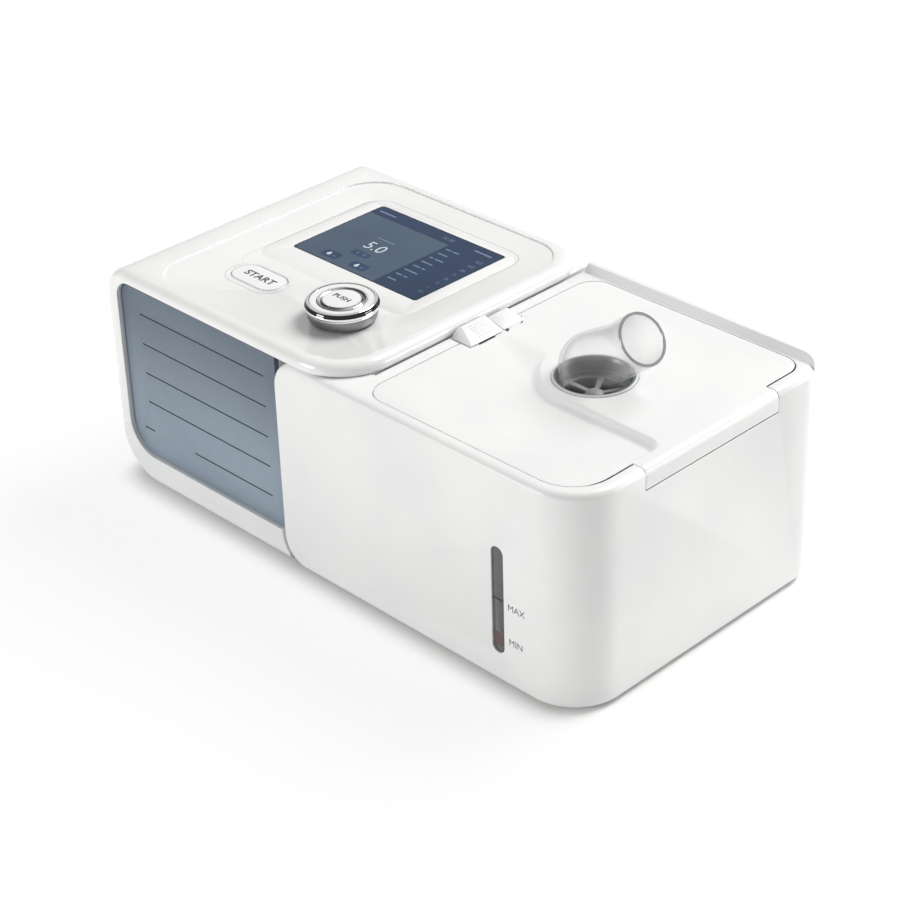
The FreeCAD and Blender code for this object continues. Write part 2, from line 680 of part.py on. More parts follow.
# ---------------------------------------------------------------------------------------------
# Main unit: screen, key and knob
# ---------------------------------------------------------------------------------------------
def make_control_overlay():
    """The glossy printed sheet that frames the screen."""
    body = new_body("control_overlay_body")
    sheet_outline = sketch(body, "XY", SURFACE + " - overlay_thick")
    plate(sheet_outline, "overlay_left", "overlay_front", "overlay_right", "overlay_back", "overlay_round")
    pad(body, sheet_outline, "overlay_thick")
    hole = sketch(body, "XY", SURFACE + " - overlay_thick")
    plate(hole, "screen_left", "screen_front", "screen_left + screen_width",
          "screen_front + screen_depth", "screen_round")
    pocket(body, hole, "overlay_thick")
    return body


def make_screen_window():
    body = new_body("screen_window_body")
    outline = sketch(body, "XY", SURFACE + " - screen_thick")
    plate(outline, "screen_left", "screen_front", "screen_left + screen_width",
          "screen_front + screen_depth", "screen_round")
    pad(body, outline, "screen_thick")
    return body


def make_screen_module():
    """The display behind the window, whose frame seats against the slab's underside."""
    core = box("screen_left + 2 * seat_gap", "screen_front + 2 * seat_gap", SLAB_LOW,
               "screen_width - 4 * seat_gap", "screen_depth - 4 * seat_gap",
               "slab_thick - dish_depth - screen_thick")
    frame = box("screen_left - panel_lap", "screen_front - panel_lap", SLAB_LOW + " - boss_drop",
                "screen_width + 2 * panel_lap", "screen_depth + 2 * panel_lap", "boss_drop")
    return fuse(core, frame)


def make_control_board():
    board = box("board_left", "board_front", BOARD_LOW, "board_right - board_left",
                "board_back - board_front", "board_thick")
    holes = [cylinder(x, y, BOARD_LOW, "screw_radius", "board_thick") for x, y in BOARD_POSTS]
    return cut(board, *holes)


def make_screws(places, z, shank, upward=True):
    """Pan-head screws whose heads bear on the face at height z."""
    screws = []
    for x, y in places:
        if upward:
            stem = cylinder(x, y, z, "screw_radius", shank)
            head = cylinder(x, y, "%s - screw_head" % z, "2 * screw_radius", "screw_head")
        else:
            stem = cylinder(x, y, "%s - (%s)" % (z, shank), "screw_radius", shank)
            head = cylinder(x, y, z, "2 * screw_radius", "screw_head")
        screws.append(fuse(stem, head))
    return group(screws)


def make_encoder():
    """The rotary encoder's can, with the bore that guides the knob's push shaft."""
    can = box("knob_x - encoder_width / 2", "knob_y - encoder_width / 2", BOARD_TOP,
              "encoder_width", "encoder_width", "boss_drop - 0.2")
    bore = cylinder("knob_x", "knob_y", BOARD_TOP + " + 0.4", "shaft_radius + pin_play", "boss_drop")
    return cut(can, bore)


def make_push_shaft():
    return cylinder("knob_x", "knob_y", BOARD_TOP + " + 0.4 + knob_travel + 0.1", "shaft_radius",
                    "%s + knob_seat - %s - 0.5 - knob_travel - seat_gap" % (KNOB_LOW, BOARD_TOP))


def knob_ring(name, points):
    """One turned piece of the knob: points are radius and height above the knob's lower edge."""
    body = new_body(name, "knob_x", "knob_y", KNOB_LOW)
    half = sketch(body, "XZ")
    polygon(half, points)
    revolve(body, half)
    return body


def make_knob_skirt():
    """The satin metal skirt, drawn in towards its foot, with the hub that turns on the shaft."""
    return knob_ring("knob_skirt_body", [
        ("shaft_radius + pin_play", "0.6"),
        ("shaft_radius + 2.4", "0.6"),
        ("shaft_radius + 2.4", "knob_seat - 1.6"),
        ("knob_radius - 4", "knob_seat - 1.6"),
        ("knob_radius - 4", "0"),
        ("knob_radius - 1.9", "0"),
        ("knob_radius - 0.6", "knob_seat - 1.2"),
        ("knob_radius - 0.6", "knob_seat"),
        ("shaft_radius + pin_play", "knob_seat"),
    ])


def make_knob_band():
    """The bright band round the knob's shoulder."""
    body = knob_ring("knob_band_body", [
        ("knob_radius - 2.5", "knob_seat"),
        ("knob_radius", "knob_seat"),
        ("knob_radius", "knob_height"),
        ("knob_radius - 1.4", "knob_height"),
        ("knob_radius - 1.4", "knob_height - 0.8"),
        ("knob_radius - 2.5", "knob_height - 0.8"),
    ])
    blend(body, "Fillet", "knob_soft", lambda p, edge: near(math.hypot(p.x, p.y), "knob_radius"))
    return body


def make_knob_cap():
    """The white face ring, which drops into the band's rebate."""
    return knob_ring("knob_cap_body", [
        ("0", "knob_seat"),
        ("knob_radius - 2.5", "knob_seat"),
        ("knob_radius - 2.5", "knob_height - 0.8"),
        ("knob_radius - 1.4", "knob_height - 0.8"),
        ("knob_radius - 1.4", "knob_height - 0.2"),
        ("knob_ring_outer", "knob_height - 0.4"),
        ("knob_ring_outer", "knob_seat + 1"),
        ("0", "knob_seat + 1"),
    ])


def make_knob_inner_ring():
    """The bright dished ring between the white face and the white centre."""
    return knob_ring("knob_inner_ring_body", [
        ("knob_centre_radius", "knob_seat + 1"),
        ("knob_ring_outer", "knob_seat + 1"),
        ("knob_ring_outer", "knob_height"),
        ("knob_ring_outer - 0.5", "knob_height"),
        ("knob_ring_outer - 1.1", "knob_height - 1"),
        ("knob_centre_radius + 0.6", "knob_height - 1"),
        ("knob_centre_radius", "knob_height - 0.1"),
    ])


def make_knob_centre():
    return knob_ring("knob_centre_body", [
        ("0", "knob_seat + 1"),
        ("knob_centre_radius", "knob_seat + 1"),
        ("knob_centre_radius", "knob_height - 0.1"),
        ("knob_centre_radius * 0.6", "knob_height + 0.1"),
        ("0", "knob_height + 0.2"),
    ])


def make_start_button():
    """A pill-shaped key with a flange under the slab and a stem over its switch."""
    body = new_body("start_button_body")
    flange = sketch(body, "XY", SLAB_LOW + " - key_flange - key_stop")
    plate(flange, "start_x - start_width / 2 - 1.5", "start_y - start_depth / 2 - 1.5",
          "start_x + start_width / 2 + 1.5", "start_y + start_depth / 2 + 1.5", "start_depth / 2")
    pad(body, flange, "key_flange")
    pill = sketch(body, "XY", SLAB_LOW + " - key_stop")
    plate(pill, "start_x - start_width / 2", "start_y - start_depth / 2",
          "start_x + start_width / 2", "start_y + start_depth / 2", "start_depth / 2 - 0.05")
    pad(body, pill, "slab_thick - dish_depth + key_stop + key_proud")
    blend(body, "Fillet", "key_soft", lambda p, edge: near(p.z, SURFACE + " + key_proud"))
    stem = sketch(body, "XY", BOARD_TOP + " + switch_height + start_travel + 0.1")
    circle(stem, "start_x", "start_y", "stem_radius")
    pad(body, stem, "boss_drop - key_flange - switch_height - start_travel - key_stop - 0.1")
    return body


def make_start_switch():
    return box("start_x - switch_side / 2", "start_y - switch_side / 2", BOARD_TOP,
               "switch_side", "switch_side", "switch_height")


# ---------------------------------------------------------------------------------------------
# Main unit: air path
# ---------------------------------------------------------------------------------------------
def make_volute():
    """The whole blower housing with its duct, and the matching hollow."""
    shell = fuse(cylinder("blower_x", "blower_y", "blower_low", "volute_radius", "volute_height"),
                 cylinder("blower_x", "duct_y", DUCT_Z, "duct_radius", "duct_join - blower_x", "X"))
    inner = fuse(cylinder("blower_x", "blower_y", "blower_low + volute_wall",
                          "volute_radius - volute_wall", "volute_height - 2 * volute_wall"),
                 cylinder("blower_x", "duct_y", DUCT_Z, "duct_radius - duct_wall",
                          "duct_join - blower_x", "X"))
    return cut(shell, inner)


def half_volute(low, eye_radius):
    """One half of the blower housing, split at the height of the duct's middle."""
    halves = box("blower_x - volute_radius - wall", "blower_y - volute_radius - wall", low,
                 "2 * (volute_radius + wall) + duct_reach", "2 * (volute_radius + wall)",
                 "volute_height / 2")
    eye = cylinder("blower_x", "blower_y", low, eye_radius, "volute_height / 2")
    return cut(common(make_volute(), halves), eye)


def make_impeller():
    """Backward-swept blades on a backplate, with the shaft that runs up into the motor."""
    body = new_body("impeller_body", "blower_x", "blower_y")
    disc = sketch(body, "XY", IMPELLER_TOP + " - disc_thick")
    circle(disc, "0", "0", "impeller_radius")
    pad(body, disc, "disc_thick")
    hub = sketch(body, "XY", IMPELLER_LOW)
    circle(hub, "0", "0", "hub_radius")
    pad(body, hub, "%s - disc_thick - (%s)" % (IMPELLER_TOP, IMPELLER_LOW))
    shaft = sketch(body, "XY", IMPELLER_TOP)
    circle(shaft, "0", "0", "motor_shaft_radius")
    pad(body, shaft, "motor_height - 1")
    blade = sketch(body, "XY", IMPELLER_LOW)
    sweep_blade(blade)
    first = pad(body, blade, "%s - disc_thick - (%s)" % (IMPELLER_TOP, IMPELLER_LOW))
    blades = body.newObject("PartDesign::PolarPattern", "blades")
    blades.Originals = [first]
    blades.Axis = (hub, ["N_Axis"])
    blades.Angle = 360
    bind(blades, "Occurrences", "blade_count")
    body.Tip = blades
    return body


def sweep_blade(drawing):
    """A crescent between two arcs, from the hub's eye out to the rim and swept back."""
    root, tip = value("blade_root"), value("impeller_radius")
    sweep, thick = math.radians(value("blade_sweep")), value("blade_thick")
    start, end = Vector(root, 0, 0), Vector(tip * math.cos(sweep), tip * math.sin(sweep), 0)
    across = Vector(-(end - start).y, (end - start).x, 0).normalize()
    middle = (start + end) * 0.5 - across * (tip * value("blade_bow"))
    inner = Part.Arc(start, middle, end)
    outer = Part.Arc(start + across * thick, middle + across * thick, end + across * thick)
    curve_in = drawing.addGeometry(inner, False)
    curve_out = drawing.addGeometry(outer, False)
    cap_low = drawing.addGeometry(Part.LineSegment(start, start + across * thick), False)
    cap_high = drawing.addGeometry(Part.LineSegment(end, end + across * thick), False)
    ends = [(curve_in, cap_low, 1), (curve_out, cap_low, 2), (curve_in, cap_high, 1),
            (curve_out, cap_high, 2)]
    for curve, cap, point in ends:
        corner = start if cap == cap_low else end
        if curve == curve_out:
            corner = corner + across * thick
        end_point = 1 if drawing.getPoint(curve, 1).isEqual(corner, 1e-6) else 2
        drawing.addConstraint(Sketcher.Constraint("Coincident", curve, end_point, cap, point))
    for geometry in (curve_in, curve_out, cap_low, cap_high):
        drawing.addConstraint(Sketcher.Constraint("Block", geometry))


def make_motor():
    """The blower motor: a can with a bore for the impeller's shaft."""
    can = cylinder("blower_x", "blower_y", VOLUTE_TOP, "motor_radius", "motor_height")
    bore = cylinder("blower_x", "blower_y", VOLUTE_TOP, "motor_shaft_radius + pin_play",
                    "motor_height")
    relief = cylinder("blower_x", "blower_y", VOLUTE_TOP, "hub_radius", "1")
    return cut(can, bore, relief)


def make_muffler_box():
    """The inlet silencer: open at the back towards the filter, with the blower's eye on top."""
    outer = box("muffler_left", "muffler_front", FLOOR, "muffler_width", "muffler_depth",
                "muffler_height")
    inner = box("muffler_left + muffler_wall", "muffler_front + muffler_wall", FLOOR + " + muffler_wall",
                "muffler_width - 2 * muffler_wall", "muffler_depth", "muffler_height - 2 * muffler_wall")
    eye = cylinder("blower_x", "blower_y", FLOOR + " + muffler_height - muffler_wall", "eye_radius",
                   "muffler_wall")
    return cut(outer, inner, eye)


def make_muffler_foam():
    """Foam lining with a round chamber under the blower's eye, open to the filter."""
    block = box("muffler_left + muffler_wall", "muffler_front + muffler_wall", FLOOR + " + muffler_wall",
                "muffler_width - 2 * muffler_wall", "foam_back - muffler_front - muffler_wall",
                "muffler_height - 2 * muffler_wall")
    chamber = cylinder("blower_x", "blower_y", FLOOR + " + muffler_wall", "eye_radius + foam_eye",
                       "muffler_height")
    way = box("blower_x - eye_radius", "blower_y", FLOOR + " + muffler_wall", "2 * eye_radius",
              "foam_back - blower_y + foam_gap / 2", "muffler_height")
    return cut(block, chamber, way)


def make_air_filter():
    return box("muffler_left + muffler_wall", "%s - filter_thick" % BACK_IN, FLOOR + " + muffler_wall",
               "muffler_width - 2 * muffler_wall", "filter_thick - seat_gap",
               "muffler_height - 2 * muffler_wall")


def make_filter_cover():
    """The louvred filter door, whose rounded edge turns on two stub pins."""
    body = new_body("filter_cover_body")
    front = "depth - cover_thick"
    blank = sketch(body, "XY", "filter_low + seat_gap")
    rounded(blank, [
        ("filter_left + seat_gap", front, "cover_thick / 2 - 0.02"),
        ("filter_left + filter_width - seat_gap", front),
        ("filter_left + filter_width - seat_gap", "depth"),
        ("filter_left + seat_gap", "depth", "cover_thick / 2 - 0.02"),
    ])
    pad(body, blank, "filter_height - 2 * seat_gap")
    slot = sketch(body, "XZ", "depth - cover_thick - 1")
    plate(slot, "filter_left + louvre_inset", "filter_low + louvre_low",
          "filter_left + filter_width - louvre_inset", "filter_low + louvre_low + louvre_width")
    first = pocket(body, slot, "cover_thick + 2")
    slots = body.newObject("PartDesign::LinearPattern", "louvres")
    slots.Originals = [first]
    slots.Direction = (slot, ["V_Axis"])
    slots.Occurrences = 5
    bind(slots, "Length", "louvre_rise")
    body.Tip = slots
    doc.recompute()
    pins = sketch(body, "XY", "filter_low - cover_pin_reach")
    circle(pins, COVER_AXIS_X, COVER_AXIS_Y, "cover_pin_radius")
    pad(body, pins, "filter_height + 2 * cover_pin_reach")
    return body


def make_outlet_spigot():
    """The blower's outlet: a tube through the casing wall, with a flange behind it."""
    reach = "body_right + spigot_reach - duct_join"
    outer = fuse(cylinder("duct_join", "duct_y", DUCT_Z, "duct_radius", reach, "X"),
                 cylinder("body_right - wall - spigot_flange", "duct_y", DUCT_Z, "duct_radius + spigot_lap",
                          "spigot_flange", "X"))
    return cut(outer, cylinder("duct_join", "duct_y", DUCT_Z, "duct_radius - duct_wall", reach, "X"))


# ---------------------------------------------------------------------------------------------
# Main unit: power
# ---------------------------------------------------------------------------------------------
def make_power_board():
    board = box("power_left", "power_front", POWER_LOW, "power_right - power_left",
                "power_back - power_front", "board_thick")
    return cut(board, *[cylinder(x, y, POWER_LOW, "screw_radius", "board_thick")
                        for x, y in POWER_POSTS])


def make_power_jack():
    """The round power inlet: a block on the board with a snout in the casing's hole."""
    block = box("jack_x - jack_half", "%s - jack_block" % BACK_IN, POWER_TOP, "2 * jack_half",
                "jack_block", "jack_z + jack_half - (%s)" % POWER_TOP)
    snout = cylinder("jack_x", BACK_IN, "jack_z", "jack_radius + jack_lip", "wall", "Y")
    bore = cylinder("jack_x", "depth - jack_depth", "jack_z", "jack_radius", "jack_depth", "Y")
    return cut(fuse(block, snout), bore)


def make_dock_socket():
    """The electrical socket that the humidifier's plug slides into."""
    body_ = box("body_right - socket_depth", "plug_y", "plug_z", "socket_depth", "plug_width",
                "plug_height")
    wells = [cylinder("body_right - socket_depth + 1.5",
                      "plug_y + plug_width * %s" % share, "plug_z + plug_height / 2",
                      "contact_radius + seat_gap", "socket_depth", "X") for share in CONTACTS]
    return cut(body_, *wells)


def make_dock_plug():
    """The humidifier's plug: a block behind its wall with three round contacts."""
    block = box(HUMID_LEFT, "plug_y", "plug_z", "wall + plug_back", "plug_width", "plug_height")
    contacts = [cylinder(HUMID_LEFT + " - contact_reach", "plug_y + plug_width * %s" % share,
                         "plug_z + plug_height / 2", "contact_radius", "contact_reach", "X")
                for share in CONTACTS]
    return fuse(block, *contacts)


# ---------------------------------------------------------------------------------------------
# Humidifier: casing
# ---------------------------------------------------------------------------------------------
def inset_plan(inset):
    """The humidifier's plan without its cheek, drawn in by an inset on every side."""
    return [
        (HUMID_LEFT + " + " + inset, inset),
        ("length - " + inset, inset, "front_corner - " + inset),
        ("length - " + inset, "depth - " + inset, "back_corner - " + inset),
        (HUMID_LEFT + " + " + inset, "depth - " + inset),
    ]


def make_humid_shell():
    """The humidifier's one-piece skin with its cheek, raised back lip and lid opening."""
    body = new_body("humid_shell_body")
    plan = sketch(body, "XY", "foot_proud")
    rounded(plan, [
        ("cheek_left", "0"),
        ("length", "0", "front_corner"),
        ("length", "depth", "back_corner"),
        (HUMID_LEFT, "depth"),
        (HUMID_LEFT, "cheek_depth"),
        ("cheek_left", "cheek_depth"),
    ])
    pad(body, plan, "humid_height - foot_proud")
    blend(body, "Fillet", "cheek_round",
          lambda p, edge: near(p.x, "cheek_left") and near(p.y, "cheek_depth / 2")
          and abs(edge.Vertexes[0].Point.y - edge.Vertexes[-1].Point.y) > 1)
    blend(body, "Fillet", "edge_round",
          lambda p, edge: near(p.y, "0") and near(p.z, "humid_height"))
    add_back_lip(body)

    cavity = sketch(body, "XY", FLOOR)
    rounded(cavity, inset_plan("wall"))
    pocket(body, cavity, "humid_height - wall - " + FLOOR)
    cheek = sketch(body, "XZ", "wall")
    rounded(cheek, [
        ("cheek_left + wall", FLOOR, "cheek_round - wall"),
        (HUMID_LEFT + " + wall + 1", FLOOR),
        (HUMID_LEFT + " + wall + 1", "humid_height - wall"),
        ("cheek_left + wall", "humid_height - wall", "cheek_round - wall"),
    ])
    pocket(body, cheek, "cheek_depth - 2 * wall")
    open_for_lid(body)

    slot = sketch(body, "XZ", "0")
    plate(slot, "window_left", "window_low", "window_left + window_width", "window_high",
          "window_width / 2 - 0.02")
    pocket(body, slot, "wall")
    port = sketch(body, "YZ", HUMID_LEFT)
    circle(port, "duct_y", DUCT_Z, "duct_radius + 2 * seat_gap")
    plate(port, "plug_y", "plug_z", "plug_y + plug_width", "plug_z + plug_height")
    pocket(body, port, "wall")
    feet = sketch(body, "XY", "foot_proud")
    for x, y in HUMID_FEET:
        circle(feet, x, y, "foot_radius")
    pocket(body, feet, "foot_seat")
    return body


def add_back_lip(body):
    """A raised lip along the back, sloped in front and rounded behind."""
    across = "back_corner - depth + lip_foot"
    run = "sqrt(back_corner * back_corner - (%s) * (%s))" % (across, across)
    lip = sketch(body, "XY", "humid_height - edge_round")
    corner_x = value("length - back_corner")
    corner_y = value("depth - back_corner")
    radius = value("back_corner")
    start = Vector(value("length - back_corner + " + run), value("lip_foot"), 0)
    end = Vector(corner_x, value("depth"), 0)
    left_back = Vector(value("lip_left"), value("depth"), 0)
    left_front = Vector(value("lip_left"), value("lip_foot"), 0)
    ring = Part.Circle(Vector(corner_x, corner_y, 0), Vector(0, 0, 1), radius)
    angle = math.atan2(start.y - corner_y, start.x - corner_x)
    front = lip.addGeometry(Part.LineSegment(left_front, start), False)
    curl = lip.addGeometry(Part.ArcOfCircle(ring, angle, math.pi / 2), False)
    back = lip.addGeometry(Part.LineSegment(end, left_back), False)
    side = lip.addGeometry(Part.LineSegment(left_back, left_front), False)
    for first, first_end, second, second_end in (
            (front, 2, curl, 1), (back, 2, side, 1), (side, 2, front, 1)):
        lip.addConstraint(Sketcher.Constraint("Coincident", first, first_end, second, second_end))
    lip.addConstraint(Sketcher.Constraint("Tangent", curl, 2, back, 1))
    lip.addConstraint(Sketcher.Constraint("Horizontal", front))
    lip.addConstraint(Sketcher.Constraint("Horizontal", back))
    lip.addConstraint(Sketcher.Constraint("Vertical", side))
    hold_radius(lip, curl, "back_corner")
    hold(lip, "DistanceX", curl, 3, "length - back_corner")
    hold(lip, "DistanceY", curl, 3, "depth - back_corner")
    hold(lip, "DistanceY", front, 1, "lip_foot")
    hold(lip, "DistanceX", side, 1, "lip_left")
    pad(body, lip, "lip_height + edge_round")
    blend(body, "Fillet", "edge_round",
          lambda p, edge: near(p.y, "depth") and near(p.z, "humid_height + lip_height"))
    slope = sketch(body, "YZ", "lip_left - 1")
    polygon(slope, [
        ("lip_foot - 1", "humid_height"),
        ("lip_foot", "humid_height"),
        ("lip_foot + lip_slope", "humid_height + lip_height"),
        ("lip_foot + lip_slope", "humid_height + lip_height + 1"),
        ("lip_foot - 1", "humid_height + lip_height + 1"),
    ])
    pocket(body, slope, "length - lip_left + 1")


def open_for_lid(body):
    """Cut the lid's opening and the flap's seat, then add the two hinge lugs."""
    opening = sketch(body, "XY", "humid_height - wall - 1")
    lid_plan(opening, "lid_gap")
    pocket(body, opening, "wall + 2")
    gate = sketch(body, "YZ", "lid_right + lid_gap")
    plate(gate, "flap_front - lid_gap", "flap_low - lid_gap", "flap_back + lid_gap", "humid_height + 1")
    pocket(body, gate, "length + 1 - lid_right")
    relief = sketch(body, "XZ", "flap_front - lid_gap")
    circle(relief, HINGE_X, HINGE_Z, "hinge_drop * 1.4142 + lid_gap")
    pocket(body, relief, "flap_back - flap_front + 2 * lid_gap")
    for start in ("flap_front - lid_gap - lug_thick", "flap_back + lid_gap"):
        lug = sketch(body, "XZ", start)
        plate(lug, "lid_right + lid_gap", HINGE_Z + " - lug_drop", "length - wall / 2",
              "humid_height - wall / 2")
        pad(body, lug, "lug_thick")
    bore = sketch(body, "XZ", "flap_front - lid_gap - lug_thick")
    circle(bore, HINGE_X, HINGE_Z, "hinge_pin_radius + pin_play")
    pocket(body, bore, "flap_back - flap_front + 2 * lid_gap + 2 * lug_thick")


def make_water_window():
    """The dark gauge lens, let into the front wall with a lap behind it."""
    body = new_body("water_window_body")
    lens = sketch(body, "XZ", "window_recess")
    plate(lens, "window_left", "window_low", "window_left + window_width", "window_high",
          "window_width / 2 - 0.02")
    pad(body, lens, "wall - window_recess")
    lap = sketch(body, "XZ", "wall")
    plate(lap, "window_left - window_lap", "window_low - window_lap",
          "window_left + window_width + window_lap", "window_high + window_lap",
          "window_width / 2 + window_lap - 0.02")
    pad(body, lap, "window_thick")
    return body


# ---------------------------------------------------------------------------------------------
# Humidifier: heater and tank
# ---------------------------------------------------------------------------------------------
def make_heater_cup():
    return tube("heater_x", "heater_y", FLOOR, "heater_radius + heater_gap + wall",
                "heater_radius + heater_gap", "cup_height")


def make_heater_pad():
    return tube("heater_x", "heater_y", FLOOR, "heater_radius", "pad_hole",
                "tank_low - heater_thick - " + FLOOR)


def make_heater_plate():
    return cylinder("heater_x", "heater_y", "tank_low - heater_thick", "heater_radius", "heater_thick")


def make_water_tank():
    """The clear tub: open on top, with the steel plate's hole below and the air port on the left."""
    body = new_body("water_tank_body")
    outline = sketch(body, "XY", "tank_low")
    plate(outline, TANK_LEFT, TANK_FRONT, "tank_right", TANK_BACK, "tank_round")
    pad(body, outline, "tank_high - tank_low")
    blend(body, "Fillet", "tank_soft", lambda p, edge: near(p.z, "tank_low") and near(p.y, TANK_FRONT))
    inside = sketch(body, "XY", "tank_low + tank_wall")
    plate(inside, TANK_LEFT + " + tank_wall", TANK_FRONT + " + tank_wall", "tank_right - tank_wall",
          TANK_BACK + " - tank_wall", "tank_round - tank_wall")
    pocket(body, inside, "tank_high - tank_low")
    hole = sketch(body, "XY", "tank_low")
    circle(hole, "heater_x", "heater_y", "heater_radius - tank_step")
    pocket(body, hole, "tank_wall")
    port = sketch(body, "YZ", TANK_LEFT)
    circle(port, "duct_y", DUCT_Z, "duct_radius - duct_wall")
    pocket(body, port, "tank_wall")
    return body


def make_tank_plate():
    """The stepped steel disc that carries the heat into the water."""
    low = cylinder("heater_x", "heater_y", "tank_low", "heater_radius - tank_step", "tank_wall")
    high = cylinder("heater_x", "heater_y", "tank_low + tank_wall", "heater_radius", "tank_wall / 2")
    return fuse(low, high)


def make_dock_seal():
    """A soft collar between the casing's left wall and the tank: the spigot slides into its mouth."""
    mouth = tube(HUMID_IN, "duct_y", DUCT_Z, "duct_radius + spigot_lap", "duct_radius + 2 * seat_gap",
                 "seal_step", "X")
    throat = tube(HUMID_IN + " + seal_step", "duct_y", DUCT_Z, "duct_radius + spigot_lap",
                  "duct_radius - duct_wall", "%s - %s - seal_step" % (TANK_LEFT, HUMID_IN), "X")
    return fuse(mouth, throat)


# ---------------------------------------------------------------------------------------------
# Lid
# ---------------------------------------------------------------------------------------------
def lid_plan(drawing, gap):
    """The lid's plan with a gap round it: its flap runs out over the end face between the lugs."""
    rounded(drawing, [
        ("lid_left - " + gap, "lid_front - " + gap, "lid_left_round + " + gap),
        ("lid_right + " + gap, "lid_front - " + gap, "lid_right_round + " + gap),
        ("lid_right + " + gap, "flap_front - " + gap),
        ("length + 2 * " + gap, "flap_front - " + gap),
        ("length + 2 * " + gap, "flap_back + " + gap),
        ("lid_right + " + gap, "flap_back + " + gap),
        ("lid_right + " + gap, "lid_back + " + gap, "lid_back_round + " + gap),
        ("lid_left - " + gap, "lid_back + " + gap, "lid_left_round + " + gap),
    ])


def make_lid_blank():
    """The lid's plate, its flap over the end face, and the seats for the port and the latch."""
    body = new_body("lid_blank_body")
    plan = sketch(body, "XY", LID_LOW)
    lid_plan(plan, "0")
    pad(body, plan, "lid_thick")
    flap = sketch(body, "XY", "flap_low")
    plate(flap, "length - flap_thick", "flap_front", "length", "flap_back")
    pad(body, flap, LID_LOW + " - flap_low")
    blend(body, "Fillet", "edge_round", lambda p, edge: near(p.x, "length") and near(p.z, "humid_height"))

    under = sketch(body, "XY", LID_LOW)
    plate(under, "latch_right + latch_travel + 1", "scoop_back", "lid_right - 3 * wall",
          "lid_back - 2 * wall", "lid_back_round - 2 * wall")
    pocket(body, under, "lid_thick - shell_under")
    boss = sketch(body, "XY", LID_LOW)
    circle(boss, "port_x", "port_y", "boss_radius")
    pad(body, boss, "lid_thick - shell_under")
    port = sketch(body, "XY", LID_LOW)
    circle(port, "port_x", "port_y", "port_ring_radius")
    pocket(body, port, "lid_thick")
    slot = sketch(body, "XY", LID_LOW)
    plate(slot, NECK_LEFT + " - seat_gap", NECK_FRONT + " - seat_gap",
          NECK_LEFT + " + neck_width + latch_travel + seat_gap", NECK_BACK + " + seat_gap")
    pocket(body, slot, "lid_thick")
    bore = sketch(body, "XZ", "flap_front")
    circle(bore, HINGE_X, HINGE_Z, "hinge_pin_radius")
    pocket(body, bore, "flap_back - flap_front")

    tab = sketch(body, "XZ", "tab_front")
    polygon(tab, [
        ("tab_left", "humid_height + lid_gap"),
        ("lid_left", "humid_height + lid_gap"),
        ("lid_left", "humid_height - 0.5"),
        ("tab_right", "humid_height - 0.5"),
        ("tab_right", "humid_height + lid_gap"),
        ("tab_left + 1", "humid_height + tab_high"),
        ("tab_left", "humid_height + tab_high - 0.6"),
    ])
    pad(body, tab, "tab_back - tab_front")
    return body


def rim_sweep(name, corner_y, radius, corner_turn, flap_edge, outward):
    """The room that the lid's right edge leaves beside the flap, as a solid turned round the hinge.

    At each y its radius is the distance from the hinge to the rim's top edge, plus a clearance.
    outward is -1 for the front corner and 1 for the back one.
    """
    body = new_body(name, HINGE_X, "0", HINGE_Z)
    profile = sketch(body, "XY")
    rise = "(humid_height - %s)" % HINGE_Z
    points = [("0", flap_edge)]
    for turn in [None] + list(range(0, 91, corner_turn)):
        if turn is None:
            x, y = "(lid_right + lid_gap)", flap_edge
        else:
            x = "(lid_right - %s + (%s + lid_gap) * cos(%d))" % (radius, radius, turn)
            y = "(%s + %d * (%s + lid_gap) * sin(%d))" % (corner_y, outward, radius, turn)
        away = "(%s - %s)" % (HINGE_X, x)
        reach = "(sqrt(%s * %s + %s * %s) + hinge_clear)" % (away, away, rise, rise)
        points.append(("-1 * " + reach, y))
    points.append(("0", points[-1][1]))
    polygon(profile, points)
    revolve(body, profile)
    return body


def ramp(x, y, heading, fall):
    """A block whose top face starts level with the lid at (x, y) and falls along the heading."""
    body = new_body("ramp_body", x, y, "humid_height")
    body.Placement.Rotation = FreeCAD.Rotation(heading, math.degrees(math.atan(value(fall))), 0)
    block = sketch(body, "XY", "-1 * ramp_thick")
    plate(block, "-1 * ramp_size", "-1 * ramp_size", "ramp_size", "ramp_size")
    pad(body, block, "ramp_thick")
    return body


def make_lid_panel():
    """The lid with the wide scoop hollowed out of its front: four ramps and the wall they meet."""
    body = new_body("scoop_body")
    plan = sketch(body, "XY", LID_LOW)
    rounded(plan, [
        ("scoop_left", "scoop_front"),
        ("scoop_right", "scoop_front"),
        ("scoop_right", "scoop_wall", "scoop_corner"),
        ("ring_left", "scoop_wall", "ring_round"),
        ("ring_left", "scoop_back"),
        ("scoop_left", "scoop_back"),
    ])
    pad(body, plan, "lid_thick + 1")
    slope = "scoop_depth / scoop_ramp"
    scoop = cut(
        body,
        ramp("port_x", "scoop_front", 90, "scoop_depth / (scoop_wall - scoop_front)"),
        ramp("scoop_left", "scoop_wall", 0, slope),
        ramp("ring_left", "scoop_back - scoop_fade / 2", -90, "scoop_depth / scoop_fade"),
        ramp("scoop_right", "flap_front + 1", value("scoop_heading"), "scoop_depth / scoop_fade"),
    )
    front = rim_sweep("front_sweep_body", "(lid_front + lid_right_round)", "lid_right_round", 10,
                      "flap_front", -1)
    back = rim_sweep("back_sweep_body", "(lid_back - lid_back_round)", "lid_back_round", 15,
                     "flap_back", 1)
    return cut(make_lid_blank(), scoop, front, back)


